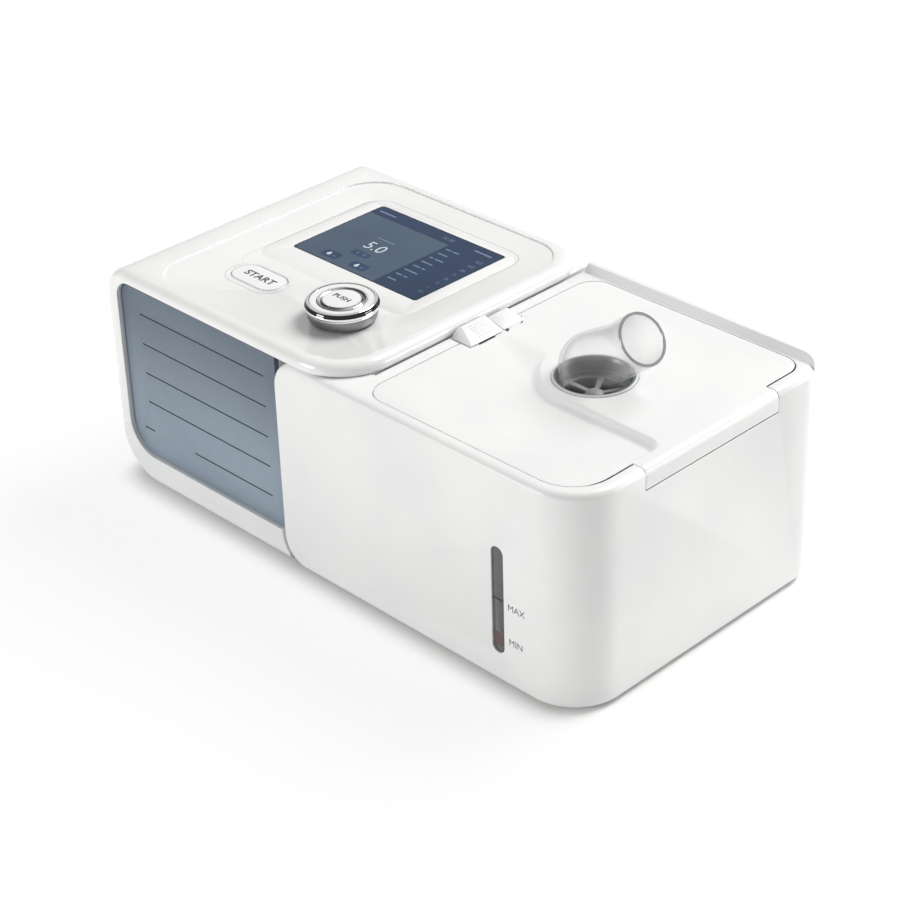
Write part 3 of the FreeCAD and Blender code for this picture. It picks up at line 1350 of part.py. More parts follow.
def make_lid_liner():
    """The inner plate under the lid, with the port's hole and room for the latch's foot."""
    body = new_body("lid_liner_body")
    outline = sketch(body, "XY", LINER_LOW)
    plate(outline, TANK_LEFT + " + 0.5", TANK_FRONT, "tank_right", TANK_BACK, "tank_round")
    pad(body, outline, "liner_thick")
    port = sketch(body, "XY", LINER_LOW)
    circle(port, "port_x", "port_y", "elbow_radius + elbow_flange + seat_gap")
    plate(port, "lid_left", "latch_front + 1", "latch_right + latch_travel", "latch_back - 1")
    pocket(body, port, "liner_thick")
    return body


def make_lid_gasket():
    """The soft rim seal that hangs just above the tank."""
    body = new_body("lid_gasket_body")
    ring = sketch(body, "XY", GASKET_LOW)
    left = "latch_right + latch_travel + 0.5"
    plate(ring, left, TANK_FRONT, "tank_right", TANK_BACK, "tank_round - 2")
    plate(ring, left + " + gasket_width", TANK_FRONT + " + gasket_width", "tank_right - gasket_width",
          TANK_BACK + " - gasket_width", "tank_round - 2 - gasket_width")
    pad(body, ring, "gasket_thick")
    return body


def make_lid_pins():
    """Two short pins, fixed in the flap, that turn in the casing's lugs."""
    return group([
        cylinder(HINGE_X, start, HINGE_Z, "hinge_pin_radius", "pin_reach + lug_thick", "Y")
        for start in ("flap_front - lug_thick", "flap_back - pin_reach")
    ])


def make_port_ring():
    """The dark seal that lines the port."""
    return tube("port_x", "port_y", LID_LOW, "port_ring_radius", "elbow_radius + seat_gap",
                "lid_thick + port_ring_proud")


def make_outlet_baffle():
    """A disc with a ring of holes, which keeps water out of the elbow."""
    disc = cylinder("port_x", "port_y", GASKET_LOW, "elbow_radius + elbow_flange + baffle_lap",
                    "gasket_thick")
    holes = [cylinder("port_x + baffle_ring * cos(%d)" % angle, "port_y + baffle_ring * sin(%d)" % angle,
                      GASKET_LOW, "baffle_hole", "gasket_thick") for angle in range(0, 360, 60)]
    return cut(disc, *holes)


# ---------------------------------------------------------------------------------------------
# Latch and elbow
# ---------------------------------------------------------------------------------------------
def make_latch_pad():
    """A toothed thumb wedge with a slanted front end, held in its slot by a foot below the lid."""
    body = new_body("latch_body")
    profile = sketch(body, "XZ", "latch_front")
    top, low = "humid_height + latch_high", "humid_height + latch_low"
    points = [("latch_left", "humid_height + lid_gap"), ("latch_right", "humid_height + lid_gap"),
              ("latch_right", low)]
    teeth = int(value("latch_teeth"))
    for tooth in range(teeth):
        share = (tooth + 0.9) / (teeth + 0.5)
        x = "latch_right - (latch_right - latch_left - 1) * %.4f" % share
        z = "%s + (latch_high - latch_low) * %.4f" % (low, share)
        points.append((x, z))
        points.append((x, z + " - tooth_height"))
    points.append(("latch_left + 1", top))
    points.append(("latch_left", top + " - 0.5"))
    polygon(profile, points)
    pad(body, profile, "latch_back - latch_front")
    slant = sketch(body, "YZ", "latch_left - 1")
    polygon(slant, [
        ("latch_front - 1", "humid_height + lid_gap"),
        ("latch_front", "humid_height + lid_gap"),
        ("latch_front + latch_slant", "humid_height + latch_high + 0.5"),
        ("latch_front - 1", "humid_height + latch_high + 0.5"),
    ])
    pocket(body, slant, "latch_right - latch_left + 2")
    neck = sketch(body, "XY", LID_LOW + " - seat_gap")
    plate(neck, NECK_LEFT, NECK_FRONT, NECK_LEFT + " + neck_width", NECK_BACK)
    pad(body, neck, "lid_thick + seat_gap + lid_gap")
    foot = sketch(body, "XY", LID_LOW + " - seat_gap - foot_thick")
    plate(foot, NECK_LEFT + " - foot_toe", NECK_FRONT + " - foot_lap", NECK_LEFT + " + neck_width",
          NECK_BACK + " + foot_lap")
    pad(body, foot, "foot_thick")
    return body


def lean(piece):
    """Tip a piece from upright towards +X by the elbow's angle."""
    piece.Placement.Rotation = FreeCAD.Rotation(Vector(0, 1, 0), value("elbow_tilt"))
    bind(piece, "Placement.Rotation.Angle", "elbow_tilt")
    return piece


def elbow_form(riser_radius, knee_radius, end_radius, over):
    """The elbow's riser, knee and slightly tapered outlet: its skin, or its bore."""
    neck = "(outlet_reach - cuff_length)"
    riser = cylinder("port_x", "port_y", "%s - %s" % (ELBOW_LOW, over), riser_radius,
                     "%s - %s + %s" % (KNEE_Z, ELBOW_LOW, over))
    knee = sphere("port_x", "port_y", KNEE_Z, riser_radius)
    knee.Angle1 = 0
    taper = lean(cone("port_x", "port_y", KNEE_Z, knee_radius, end_radius, neck))
    cuff = lean(cylinder("port_x + %s * sin(elbow_tilt)" % neck, "port_y",
                         "%s + %s * cos(elbow_tilt)" % (KNEE_Z, neck), end_radius,
                         "cuff_length + " + over))
    return fuse(riser, knee, taper, cuff)


def make_outlet_elbow():
    """The clear elbow, which turns in the port on a flange under its ring."""
    skin = elbow_form("elbow_radius", "elbow_radius - elbow_wall", "outlet_radius", "0")
    flange = cylinder("port_x", "port_y", ELBOW_LOW, "elbow_radius + elbow_flange", "flange_thick")
    bore = elbow_form("elbow_radius - elbow_wall", "elbow_radius - 2 * elbow_wall",
                      "outlet_radius - outlet_wall", "1")
    return cut(fuse(skin, flange), bore)


# ---------------------------------------------------------------------------------------------
# The machine
# ---------------------------------------------------------------------------------------------
node(make_main_shell(), "main_shell")
node(make_base_tray(), "base_tray")
node(make_front_panel(), "front_panel")
node(make_feet(MAIN_FEET), "main_feet")
node(make_control_overlay(), "control_overlay")
node(make_screen_window(), "screen_window")
node(make_screen_module(), "screen_module")
node(make_control_board(), "control_board")
node(make_screws(BOARD_POSTS, BOARD_LOW, "board_thick + boss_drop"), "board_screws")
node(make_encoder(), "rotary_encoder")
node(make_push_shaft(), "push_shaft")
node(make_knob_skirt(), "knob_skirt")
node(make_knob_band(), "knob_band")
node(make_knob_cap(), "knob_cap")
node(make_knob_inner_ring(), "knob_inner_ring")
node(make_knob_centre(), "knob_centre")
node(make_start_button(), "start_button")
node(make_start_switch(), "start_switch")
node(make_muffler_box(), "muffler_box")
node(make_muffler_foam(), "muffler_foam")
node(make_air_filter(), "air_filter")
node(make_filter_cover(), "filter_cover")
node(tube("blower_x", "blower_y", "blower_low - mount_thick", "volute_radius - mount_lap", "eye_radius",
          "mount_thick"), "blower_mount")
node(half_volute("blower_low", "eye_radius"), "volute_base")
node(half_volute(DUCT_Z, "hub_radius"), "volute_cover")
node(make_impeller(), "impeller")
node(make_motor(), "blower_motor")
node(make_outlet_spigot(), "outlet_spigot")
node(make_power_board(), "power_board")
node(make_screws(POWER_POSTS, POWER_TOP, "board_thick + power_board_rise", upward=False), "power_screws")
node(make_power_jack(), "power_jack")
node(make_dock_socket(), "dock_socket")
node(make_humid_shell(), "humid_shell")
node(make_feet(HUMID_FEET), "humid_feet")
node(make_water_window(), "water_window")
node(make_dock_plug(), "dock_plug")
node(make_dock_seal(), "dock_seal")
node(make_heater_cup(), "heater_cup")
node(make_heater_pad(), "heater_pad")
node(make_heater_plate(), "heater_plate")
node(make_water_tank(), "water_tank")
node(make_tank_plate(), "tank_plate")
node(make_lid_panel(), "lid_panel")
node(make_lid_liner(), "lid_liner")
node(make_lid_gasket(), "lid_gasket")
node(make_lid_pins(), "hinge_pins")
node(make_port_ring(), "port_ring")
node(make_outlet_baffle(), "outlet_baffle")
node(make_latch_pad(), "latch_pad")
node(make_outlet_elbow(), "outlet_elbow")


doc.recompute()
os.makedirs("parts", exist_ok=True)
for thing in doc.Objects:
    bad = [mark for mark in thing.State if mark in ("Invalid", "Error")]
    if bad:
        raise RuntimeError("%s (%s) failed: %s" % (thing.Name, thing.Label, bad))
for piece in NODES:
    if piece.Shape.isNull() or not piece.Shape.isValid():
        raise RuntimeError("%s has no valid shape" % piece.Label)
    piece.Shape.exportStep("parts/%s.step" % piece.Label)
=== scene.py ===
"""Dresses the airway machine: casings, screen, knob, lid, elbow, materials, light and camera.

Places in this script are in millimetres from the machine's left end (x), from the humidifier's
front face (y) and from the table (z).  at() turns them into the frame's metres.
"""
import math

import bmesh
import bpy
import numpy as np
from mathutils import Matrix, Vector
from mathutils.geometry import delaunay_2d_cdt


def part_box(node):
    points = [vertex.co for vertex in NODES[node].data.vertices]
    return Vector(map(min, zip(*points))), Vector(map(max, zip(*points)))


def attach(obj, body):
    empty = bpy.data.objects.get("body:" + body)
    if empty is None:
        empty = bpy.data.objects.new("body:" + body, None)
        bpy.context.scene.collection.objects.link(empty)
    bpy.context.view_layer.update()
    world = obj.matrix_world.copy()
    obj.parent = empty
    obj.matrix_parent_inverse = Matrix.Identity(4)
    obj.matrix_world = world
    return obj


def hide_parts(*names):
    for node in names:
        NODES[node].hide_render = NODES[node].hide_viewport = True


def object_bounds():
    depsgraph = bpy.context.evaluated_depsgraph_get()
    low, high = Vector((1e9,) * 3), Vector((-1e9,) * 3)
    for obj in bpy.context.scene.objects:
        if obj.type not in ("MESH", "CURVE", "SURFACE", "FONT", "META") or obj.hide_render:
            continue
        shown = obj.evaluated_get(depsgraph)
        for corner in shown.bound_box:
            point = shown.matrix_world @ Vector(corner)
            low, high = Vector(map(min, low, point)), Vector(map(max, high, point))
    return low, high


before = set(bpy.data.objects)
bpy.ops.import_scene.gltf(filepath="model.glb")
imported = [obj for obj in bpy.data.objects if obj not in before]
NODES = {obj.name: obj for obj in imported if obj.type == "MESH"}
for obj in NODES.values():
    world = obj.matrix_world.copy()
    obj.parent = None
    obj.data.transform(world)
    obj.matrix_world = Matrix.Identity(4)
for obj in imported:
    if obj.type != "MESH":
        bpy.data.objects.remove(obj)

CAD_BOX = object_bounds()
MM = 0.001
LEFT, FRONT = CAD_BOX[0].x, CAD_BOX[0].y


def at(x, y, z):
    return Vector((LEFT + x * MM, FRONT + y * MM, z * MM))


def spot(point):
    """A place in the frame, given back in the machine's own millimetres."""
    return (point.x - LEFT) / MM, (point.y - FRONT) / MM, point.z / MM


def middle_and_top(node):
    """The middle of a CAD node seen from above, and the height of its top."""
    low, high = (spot(corner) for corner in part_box(node))
    return (low[0] + high[0]) / 2, (low[1] + high[1]) / 2, high[2]


# ---- Shader nodes and colours ----
def srgb(code):
    """Turn an sRGB hex colour into the linear values that Blender works in."""
    parts = [int(code[i:i + 2], 16) / 255 for i in (0, 2, 4)]
    return [p / 12.92 if p <= 0.04045 else ((p + 0.055) / 1.055) ** 2.4 for p in parts] + [1.0]


def join(tree, node, inputs):
    """Fill a node's inputs, each from a plain value, a socket or a node's first output."""
    for socket, source in inputs.items():
        if isinstance(source, bpy.types.Node):
            source = source.outputs[0]
        if isinstance(source, bpy.types.NodeSocket):
            tree.links.new(source, node.inputs[socket])
        else:
            node.inputs[socket].default_value = source


def add(tree, kind, settings=None, inputs=None, stops=()):
    """Add a node with its settings and inputs; a colour ramp has (place, hex colour) stops."""
    node = tree.nodes.new(kind)
    for name, setting in (settings or {}).items():
        setattr(node, name, setting)
    join(tree, node, inputs or {})
    for index, (place, code) in enumerate(stops):
        points = node.color_ramp.elements
        point = points[index] if index < 2 else points.new(place)
        point.position = place
        point.color = srgb(code)
    return node


def new_material(name, **fixed):
    """A material, its tree, its shader with the values that stay fixed, and object coordinates."""
    material = bpy.data.materials.new(name)
    material.use_nodes = True
    tree = material.node_tree
    shader = tree.nodes["Principled BSDF"]
    join(tree, shader, {socket.replace("_", " "): number for socket, number in fixed.items()})
    place = add(tree, "ShaderNodeTexCoord").outputs["Object"]
    return material, tree, shader, place


def surface(name, light, dark, roughness, grain, depth, patch=45.0, stretch=(1, 1, 1), **fixed):
    """A surface with a cloudy change of colour and gloss over a fine grain.

    patch and grain are the widths of the clouds and of the grain, and depth the grain's height,
    all in millimetres; stretch draws the grain out along an axis where it is below one.  A
    moulded finish's grain is drawn a few times coarser than the real one, or it wouldn't show.
    """
    material, tree, shader, place = new_material(name, **fixed)
    cloud = add(tree, "ShaderNodeTexNoise", inputs={
        "Vector": place, "Scale": 1 / (patch * MM), "Detail": 3.0})
    tint = add(tree, "ShaderNodeValToRGB", inputs={"Fac": cloud}, stops=[(0.35, dark), (0.65, light)])
    sheen = add(tree, "ShaderNodeMapRange", inputs={
        "Value": cloud, "From Min": 0.3, "From Max": 0.7,
        "To Min": roughness * 0.9, "To Max": roughness * 1.1})
    drawn = add(tree, "ShaderNodeMapping", inputs={"Vector": place, "Scale": stretch})
    spark = add(tree, "ShaderNodeTexNoise", inputs={
        "Vector": drawn, "Scale": 1 / (grain * MM), "Detail": 2.0})
    bump = add(tree, "ShaderNodeBump", inputs={
        "Height": spark, "Strength": 0.3, "Distance": depth * MM})
    join(tree, shader, {"Base Color": tint, "Roughness": sheen, "Normal": bump})
    return material


def painted_shade_by_height(material, low, high, shade):
    """Paint shade into a finish's colour with height: full colour below low, the shade above high."""
    tree = material.node_tree
    colour = tree.nodes["Principled BSDF"].inputs["Base Color"]
    place = add(tree, "ShaderNodeSeparateXYZ", inputs={
        "Vector": add(tree, "ShaderNodeTexCoord").outputs["Object"]})
    rise = add(tree, "ShaderNodeMapRange", {"interpolation_type": "SMOOTHSTEP"}, {
        "Value": place.outputs["Z"], "From Min": low * MM, "From Max": high * MM})
    tint = add(tree, "ShaderNodeValToRGB", inputs={"Fac": rise}, stops=[(0.0, "ffffff"), (1.0, shade)])
    # a mix of colours has its factor on socket 0, its colours on 6 and 7 and its result on 2
    mixed = add(tree, "ShaderNodeMix", {"data_type": "RGBA", "blend_type": "MULTIPLY"},
                {0: 1.0, 6: colour.links[0].from_socket, 7: tint})
    tree.links.new(mixed.outputs[2], colour)
    return material


def painted_reflection_plating(name, stops, roughness, facing=(0, 0, 1)):
    """Bright plated metal with a painted reflection: it takes its shade from the way it faces, as a mirror
    would in a pale room with a dark horizon: stops run from facing away, over edge on, to the facing
    direction."""
    material, tree, shader, place = new_material(name, Metallic=1.0)
    # the colour follows the way each face turns, which paints the reflection in
    tilt = add(tree, "ShaderNodeVectorMath", {"operation": "DOT_PRODUCT"}, {
        0: add(tree, "ShaderNodeNewGeometry").outputs["Normal"], 1: facing})
    cloud = add(tree, "ShaderNodeTexNoise", inputs={"Vector": place, "Scale": 120.0, "Detail": 2.0})
    share = add(tree, "ShaderNodeMath", {"operation": "MULTIPLY_ADD"},
                {0: tilt.outputs["Value"], 1: 0.5, 2: 0.49})
    share = add(tree, "ShaderNodeMath", {"operation": "MULTIPLY_ADD"}, {0: cloud, 1: 0.02, 2: share})
    tint = add(tree, "ShaderNodeValToRGB", inputs={"Fac": share}, stops=stops)
    sheen = add(tree, "ShaderNodeMapRange", inputs={
        "Value": cloud, "To Min": roughness * 0.8, "To Max": roughness * 1.2})
    join(tree, shader, {"Base Color": tint, "Roughness": sheen})
    return material


def clear_plastic(name, face_on, edge_on, thin, thick):
    """Clear thin-walled plastic: it lets light straight through, gathers shade where it is seen
    edge on, and has a trace of flow waviness.  thin and thick are how dense it looks."""
    material, tree, shader, place = new_material(
        name, Roughness=0.03, Coat_Weight=1.0, Coat_Roughness=0.02)
    facing = add(tree, "ShaderNodeLayerWeight", inputs={"Blend": 0.35})
    cloud = add(tree, "ShaderNodeTexNoise", inputs={"Vector": place, "Scale": 90.0, "Detail": 2.0})
    flow = add(tree, "ShaderNodeMath", {"operation": "MULTIPLY_ADD"},
               {0: cloud, 1: 0.16, 2: facing.outputs["Facing"]})
    tint = add(tree, "ShaderNodeValToRGB", inputs={"Fac": flow},
               stops=[(0.15, face_on), (0.95, edge_on)])
    density = add(tree, "ShaderNodeMapRange", inputs={
        "Value": flow, "From Min": 0.3, "From Max": 1.05, "To Min": thin, "To Max": thick})
    wave = add(tree, "ShaderNodeBump", inputs={
        "Height": cloud, "Strength": 0.25, "Distance": 0.1 * MM})
    join(tree, shader, {"Base Color": tint, "Alpha": density, "Normal": wave})
    return material


def screen_colour(name, code, deep):
    """One flat field of the display under an anti-glare cover: a weak, slightly blurred gloss."""
    return surface(name, code, deep, 0.3, 4.0, 0.001, patch=30, Specular_IOR_Level=0.15)


# ---- Finishes ----
# ABS with a fine satin grain: broad soft highlights, and a grain that shows only close by
WHITE_ABS = surface("satin_white_abs", "e6e7e8", "e0e2e4", 0.36, 0.8, 0.02)
# the same white under a clear gloss, which mirrors the knob
GLOSS_ABS = surface("gloss_white_abs", "e8e9ea", "e3e5e6", 0.22, 2.5, 0.003, Coat_Weight=0.6,
                    Coat_Roughness=0.05)
# blue-grey painted ABS: slightly matte, with painted shade deepening it a little towards the top edge
BLUE_ABS = painted_shade_by_height(surface("blue_grey_abs", "8a98a6", "8492a0", 0.42, 0.7, 0.03,
                          Specular_IOR_Level=0.35), 30, 96, "b4b8bd")
# painted shade: a dark finish for the bottoms of the panel's pressed lines
GROOVE_PAINTED_SHADE = surface("groove_painted_shade", "46525e", "404b57", 0.6, 0.7, 0.03)
# bare moulded ABS of the parts inside and of the power inlet: a plain half gloss
DARK_ABS = surface("dark_grey_abs", "34373b", "2e3134", 0.4, 0.7, 0.03)
INNER_ABS = surface("blower_grey_abs", "b9bdc1", "aeb3b8", 0.45, 1.0, 0.03)
# the baffle under the port, in a light grey that shows through the clear elbow
BAFFLE_ABS = surface("baffle_abs", "8d8f92", "838588", 0.4, 0.7, 0.02, patch=8)
# matte black rubber with a slightly dusty cloud
RUBBER = surface("foot_rubber", "2b2c2e", "232426", 0.75, 0.5, 0.06, patch=12)
# moulded silicone: smooth, with a soft sheen; the hidden seals are milky
SEAL = surface("grey_silicone", "6c6f72", "606366", 0.32, 1.5, 0.01, patch=10, Coat_Weight=0.3,
               Coat_Roughness=0.15)
SOFT_SEAL = surface("milky_silicone", "c9ccce", "bfc3c6", 0.4, 1.5, 0.01)
# the knob's shoulder, with a painted reflection: a black line under its lip over a bright belly
SHOULDER = painted_reflection_plating("knob_painted_reflection", [
    (0.0, "6c6e70"), (0.28, "7d7f81"), (0.36, "f1f1f1"), (0.64, "ffffff"), (0.71, "2b2d2f"),
    (0.80, "3a3c3e"), (0.88, "ededed"), (1.0, "ffffff")], 0.06)
# the small ring, with a painted reflection: a dark crescent on the slopes that lean to one side
BEZEL = painted_reflection_plating("ring_painted_reflection", [
    (0.0, "3a3b3d"), (0.55, "4c4e50"), (0.68, "707274"), (0.82, "e4e5e6"), (1.0, "ffffff")], 0.08,
                facing=(0.5, 0.5, 0.707))
# bead-blasted and brushed round its axis: a soft, wide highlight
SATIN_METAL = surface("satin_metal", "8c8e90", "808284", 0.3, 0.35, 0.02, patch=6,
                      stretch=(1, 1, 0.25), Metallic=1.0)
STEEL = surface("zinc_steel", "b4b7ba", "9fa3a6", 0.35, 0.6, 0.02, patch=5, Metallic=1.0)
ALUMINIUM = surface("heater_aluminium", "bfc2c5", "aeb2b5", 0.38, 0.5, 0.03, patch=15,
                    stretch=(0.1, 1, 1), Metallic=1.0)
# open-cell foam: dark pores in a mid grey
FOAM = surface("acoustic_foam", "5d6064", "3f4245", 0.95, 1.2, 0.5, patch=1.6)
FILTER = surface("filter_fleece", "eceae4", "d9d7cf", 0.95, 0.8, 0.4, patch=2.0)
# green solder mask with a faint gloss
BOARD = surface("circuit_board", "2f6b4a", "28603f", 0.35, 1.5, 0.02, patch=10)
# printing ink: a dead flat dark grey, also used for painted shadow at the lid's tab
INK_AND_PAINTED_SHADOW = surface("printing_ink_and_painted_shadow", "4a4c4f", "424447", 0.6, 0.4, 0.005, patch=3)
FINE_INK = surface("outline_ink", "a9acb0", "a1a4a8", 0.6, 0.4, 0.005, patch=3)
# polycarbonate: nearly colourless face on, greyer where it is seen edge on
CLEAR = clear_plastic("clear_polycarbonate", "f4f5f5", "7a7e80", 0.05, 0.55)
TANK_CLEAR = clear_plastic("tank_polycarbonate", "dce4e7", "8fa0a8", 0.25, 0.8)
# the end of the clear wall, where its whole depth shows, drawn as a dark line that is partly painted shade
CLEAR_EDGE = clear_plastic("polycarbonate_edge", "66696c", "505356", 0.8, 0.95)
# gauge lens: smoked acrylic over a dark well, polished
GAUGE = surface("smoked_acrylic", "4b4d50", "414346", 0.12, 2.5, 0.005, patch=20, Coat_Weight=0.8,
                Coat_Roughness=0.03)
GAUGE_LINE = surface("gauge_line", "1b1c1d", "151617", 0.3, 1.0, 0.01, patch=4)
GAUGE_LOW = surface("gauge_low_tint", "5c494b", "544244", 0.3, 1.0, 0.01, patch=3)
# the display's fields, all under one anti-glare cover
SCREEN_FIELD = screen_colour("display_field", "4c5b6d", "465567")
SCREEN_BAR = screen_colour("display_bar", "2c3c57", "273651")
SCREEN_PILL = screen_colour("display_pill", "344562", "2f3f5c")
SCREEN_TEXT = screen_colour("display_text", "c9d0d8", "bfc7d0")
SCREEN_DIM = screen_colour("display_dim_text", "71829b", "697a93")
SCREEN_EDGE = screen_colour("display_edge", "2b3342", "262e3c")


# ---- Mesh tools ----
def finished(name, bm, *materials, angle=38):
    """Make a piece from a bmesh: faces outward, smooth over gentle angles, sharp at real edges."""
    bmesh.ops.recalc_face_normals(bm, faces=bm.faces)
    mesh = bpy.data.meshes.new(name)
    bm.to_mesh(mesh)
    bm.free()
    for material in materials:
        mesh.materials.append(material)
    mesh.shade_smooth()
    mesh.set_sharp_from_angle(angle=math.radians(angle))
    piece = bpy.data.objects.new(name, mesh)
    bpy.context.scene.collection.objects.link(piece)
    return piece


def settle(piece):
    """Turn a piece with modifiers into a plain mesh."""
    bpy.context.view_layer.update()
    graph = bpy.context.evaluated_depsgraph_get()
    mesh = bpy.data.meshes.new_from_object(piece.evaluated_get(graph))
    piece.modifiers.clear()
    piece.data = mesh


def dress(piece, body, slot, *nodes):
    """Hang a piece on a body, with the CAD nodes that it stands for; slot is not used."""
    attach(piece, body)
    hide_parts(*nodes)
    return piece


def soften(piece, width, segments=2):
    """Round over a piece's real edges."""
    angle = math.radians(35)
    bevel = piece.modifiers.new("soft_edges", "BEVEL")
    bevel.width = width * MM
    bevel.segments = segments
    bevel.limit_method = "ANGLE"
    bevel.angle_limit = angle
    bevel.use_clamp_overlap = True
    settle(piece)
    piece.data.shade_smooth()
    piece.data.set_sharp_from_angle(angle=angle)
    return piece


def skin(node, material, width, body, slot):
    """Dress a body with a copy of a CAD node, its faces joined up and its edges rounded over."""
    bm = bmesh.new()
    bm.from_mesh(NODES[node].data)
    bmesh.ops.remove_doubles(bm, verts=bm.verts, dist=0.002 * MM)
    bmesh.ops.dissolve_limit(bm, angle_limit=math.radians(0.6), verts=bm.verts, edges=bm.edges)
    piece = finished(node + "_skin", bm, material)
    for face in piece.data.polygons:
        face.material_index = 0
    return dress(soften(piece, width), body, slot, node)


def bridge(bm, lower, upper, closed=True):
    """Quads between two rings with as many points each."""
    count = len(lower)
    for i in range(count if closed else count - 1):
        j = (i + 1) % count
        corners = [lower[i], lower[j], upper[j], upper[i]]
        kept = [v for k, v in enumerate(corners) if v not in corners[:k]]
        if len(kept) > 2 and not bm.faces.get(kept):
            bm.faces.new(kept)


def lathe(name, profile, centre, material, steps=96):
    """Turn a closed outline of (radius, height) points about an upright axis."""
    bm = bmesh.new()
    rings = []
    for radius, height in profile:
        spots = 1 if radius < 1e-6 else steps
        turns = [2 * math.pi * i / steps for i in range(spots)]
        ring = [bm.verts.new(centre + Vector((radius * math.cos(t), radius * math.sin(t), height)) * MM)
                for t in turns]
        rings.append(ring if spots > 1 else ring * steps)
    for first, second in zip(rings, rings[1:] + rings[:1]):
        bridge(bm, first, second)
    return finished(name, bm, material)


def arc(x, y, radius, start, end, steps):
    """Points on an arc, for an outline; angles in degrees."""
    turns = [math.radians(start + (end - start) * i / steps) for i in range(steps + 1)]
    return [(x + radius * math.cos(t), y + radius * math.sin(t)) for t in turns]


def outline(corners):
    """Points round a counter-clockwise outline of (x, y, radius) corners, each with its inward
    direction, which is mitred at sharp corners."""
    count = len(corners)
    places = [Vector(c[:2]) for c in corners]
    ways = [(places[(i + 1) % count] - places[i]).normalized() for i in range(count)]
    points = []
    for i in range(count):
        into, out, radius = ways[i - 1], ways[i], corners[i][2]
        bend = into.x * out.y - into.y * out.x
        inward_before, inward_after = Vector((-into.y, into.x)), Vector((-out.y, out.x))
        if radius:
            middle = places[i] - into * radius + out * radius
            steps = max(3, int(radius * 1.5))
            for k in range(steps + 1):
                share = k / steps * math.pi / 2
                inward = inward_before * math.cos(share) + inward_after * math.sin(share)
                side = -1 if bend > 0 else 1
                points.append((middle + inward * radius * side, inward))
        else:
            points.append((places[i], inward_before + inward_after))
        begin = places[i] + out * radius
        end = places[(i + 1) % count] - out * corners[(i + 1) % count][2]
        run = (end - begin).length
        parts = int(run / (0.5 if run < 8 else 3.0))
        points += [(begin.lerp(end, k / parts), inward_after) for k in range(1, parts)]
    return points


def ring_outline(x, y, radius, steps):
    """A round hole's edge, run the other way, with directions that point into the sheet."""
    turns = [-2 * math.pi * i / steps for i in range(steps)]
    out = [Vector((math.cos(t), math.sin(t))) for t in turns]
    return [(Vector((x, y)) + way * radius, way) for way in out]


def inside(points, loop):
    """Which of the points lie inside a closed loop."""
    x, y = points[:, 0], points[:, 1]
    found = np.zeros(len(points), bool)
    for (ax, ay), (bx, by) in zip(loop, np.roll(loop, -1, axis=0)):
        crosses = (ay > y) != (by > y)
        with np.errstate(divide="ignore", invalid="ignore"):
            found ^= crosses & (x < (bx - ax) * (y - ay) / (by - ay) + ax)
    return found


def sheet(bm, loops, spots, height, clear):
    """Fill between loops (the first one outside, the others holes) with a sheet raised to
    height(x, y).  Inner spots keep clear of the loops.  Gives back the loops' vertices."""
    edges = [np.array([tuple(p) for p in loop]) for loop in loops]
    spots = np.array(spots)
    keep = inside(spots, edges[0])
    for hole in edges[1:]:
        keep &= ~inside(spots, hole)
    spots = spots[keep]
    rim = np.vstack(edges)
    gap = np.array([np.min(np.hypot(*(rim - p).T)) for p in spots])
    spots = spots[gap > clear]
    rings, flat = [], []
    for edge in edges:
        rings.append(list(range(len(flat), len(flat) + len(edge))))
        flat += [Vector(p) for p in edge]
    flat += [Vector(p) for p in spots]
    places, _, faces, sources, _, _ = delaunay_2d_cdt(flat, [], rings, 1, 1e-5)
    verts = [bm.verts.new(at(p.x, p.y, height(p.x, p.y))) for p in places]
    found = {source: verts[i] for i, group in enumerate(sources) for source in group}
    middles = np.array([np.mean([tuple(places[i]) for i in face], axis=0) for face in faces])
    drop = np.zeros(len(faces), bool)
    for hole in edges[1:]:
        drop |= inside(middles, hole)
    for face, gone in zip(faces, drop):
        if not gone:
            bm.faces.new([verts[i] for i in face])
    return [[found[i] for i in ring] for ring in rings]


def prism(bm, points, low, high, axis="Z"):
    """A straight solid over a closed outline of points, between two levels of Z or of Y."""
    def lift(a, b, level):
        return at(a, b, level) if axis == "Z" else at(a, level, b)

    bottom = [bm.verts.new(lift(a, b, low)) for a, b in points]
    top = [bm.verts.new(lift(a, b, high)) for a, b in points]
    bm.faces.new(bottom[::-1])
    bm.faces.new(top)
    bridge(bm, bottom, top)


def pill(x, y, width, depth, radius, steps=8):
    """A rounded rectangle's points about its middle."""
    a, b = width / 2 - radius, depth / 2 - radius
    return (arc(x + a, y + b, radius, 0, 90, steps) + arc(x - a, y + b, radius, 90, 180, steps)
            + arc(x - a, y - b, radius, 180, 270, steps) + arc(x + a, y - b, radius, 270, 360, steps))


def ribbon(bm, path, width, level, closed=False):
    """A thin printed line along a path; its ends narrow to nothing where the path is open."""
    foot = level - 0.03
    count = len(path)
    spots = [Vector(p) for p in path]
    rails = [[], [], [], []]
    for i, point in enumerate(spots):
        before = spots[i - 1] if i or closed else point
        after = spots[(i + 1) % count] if i < count - 1 or closed else point
        way = (after - before).normalized()
        side = Vector((-way.y, way.x)) * width / 2
        if not closed:
            side *= min(1, 0.1 + 6 * min(i, count - 1 - i) / count)
        for rail, (place, z) in zip(rails, ((point + side, level), (point + side, foot),
                                            (point - side, foot), (point - side, level))):
            rail.append(bm.verts.new(at(place.x, place.y, z)))
    for first, second in zip(rails, rails[1:] + rails[:1]):
        bridge(bm, first, second, closed)
    if not closed:
        for end in (0, -1):
            bm.faces.new([rail[end] for rail in rails])


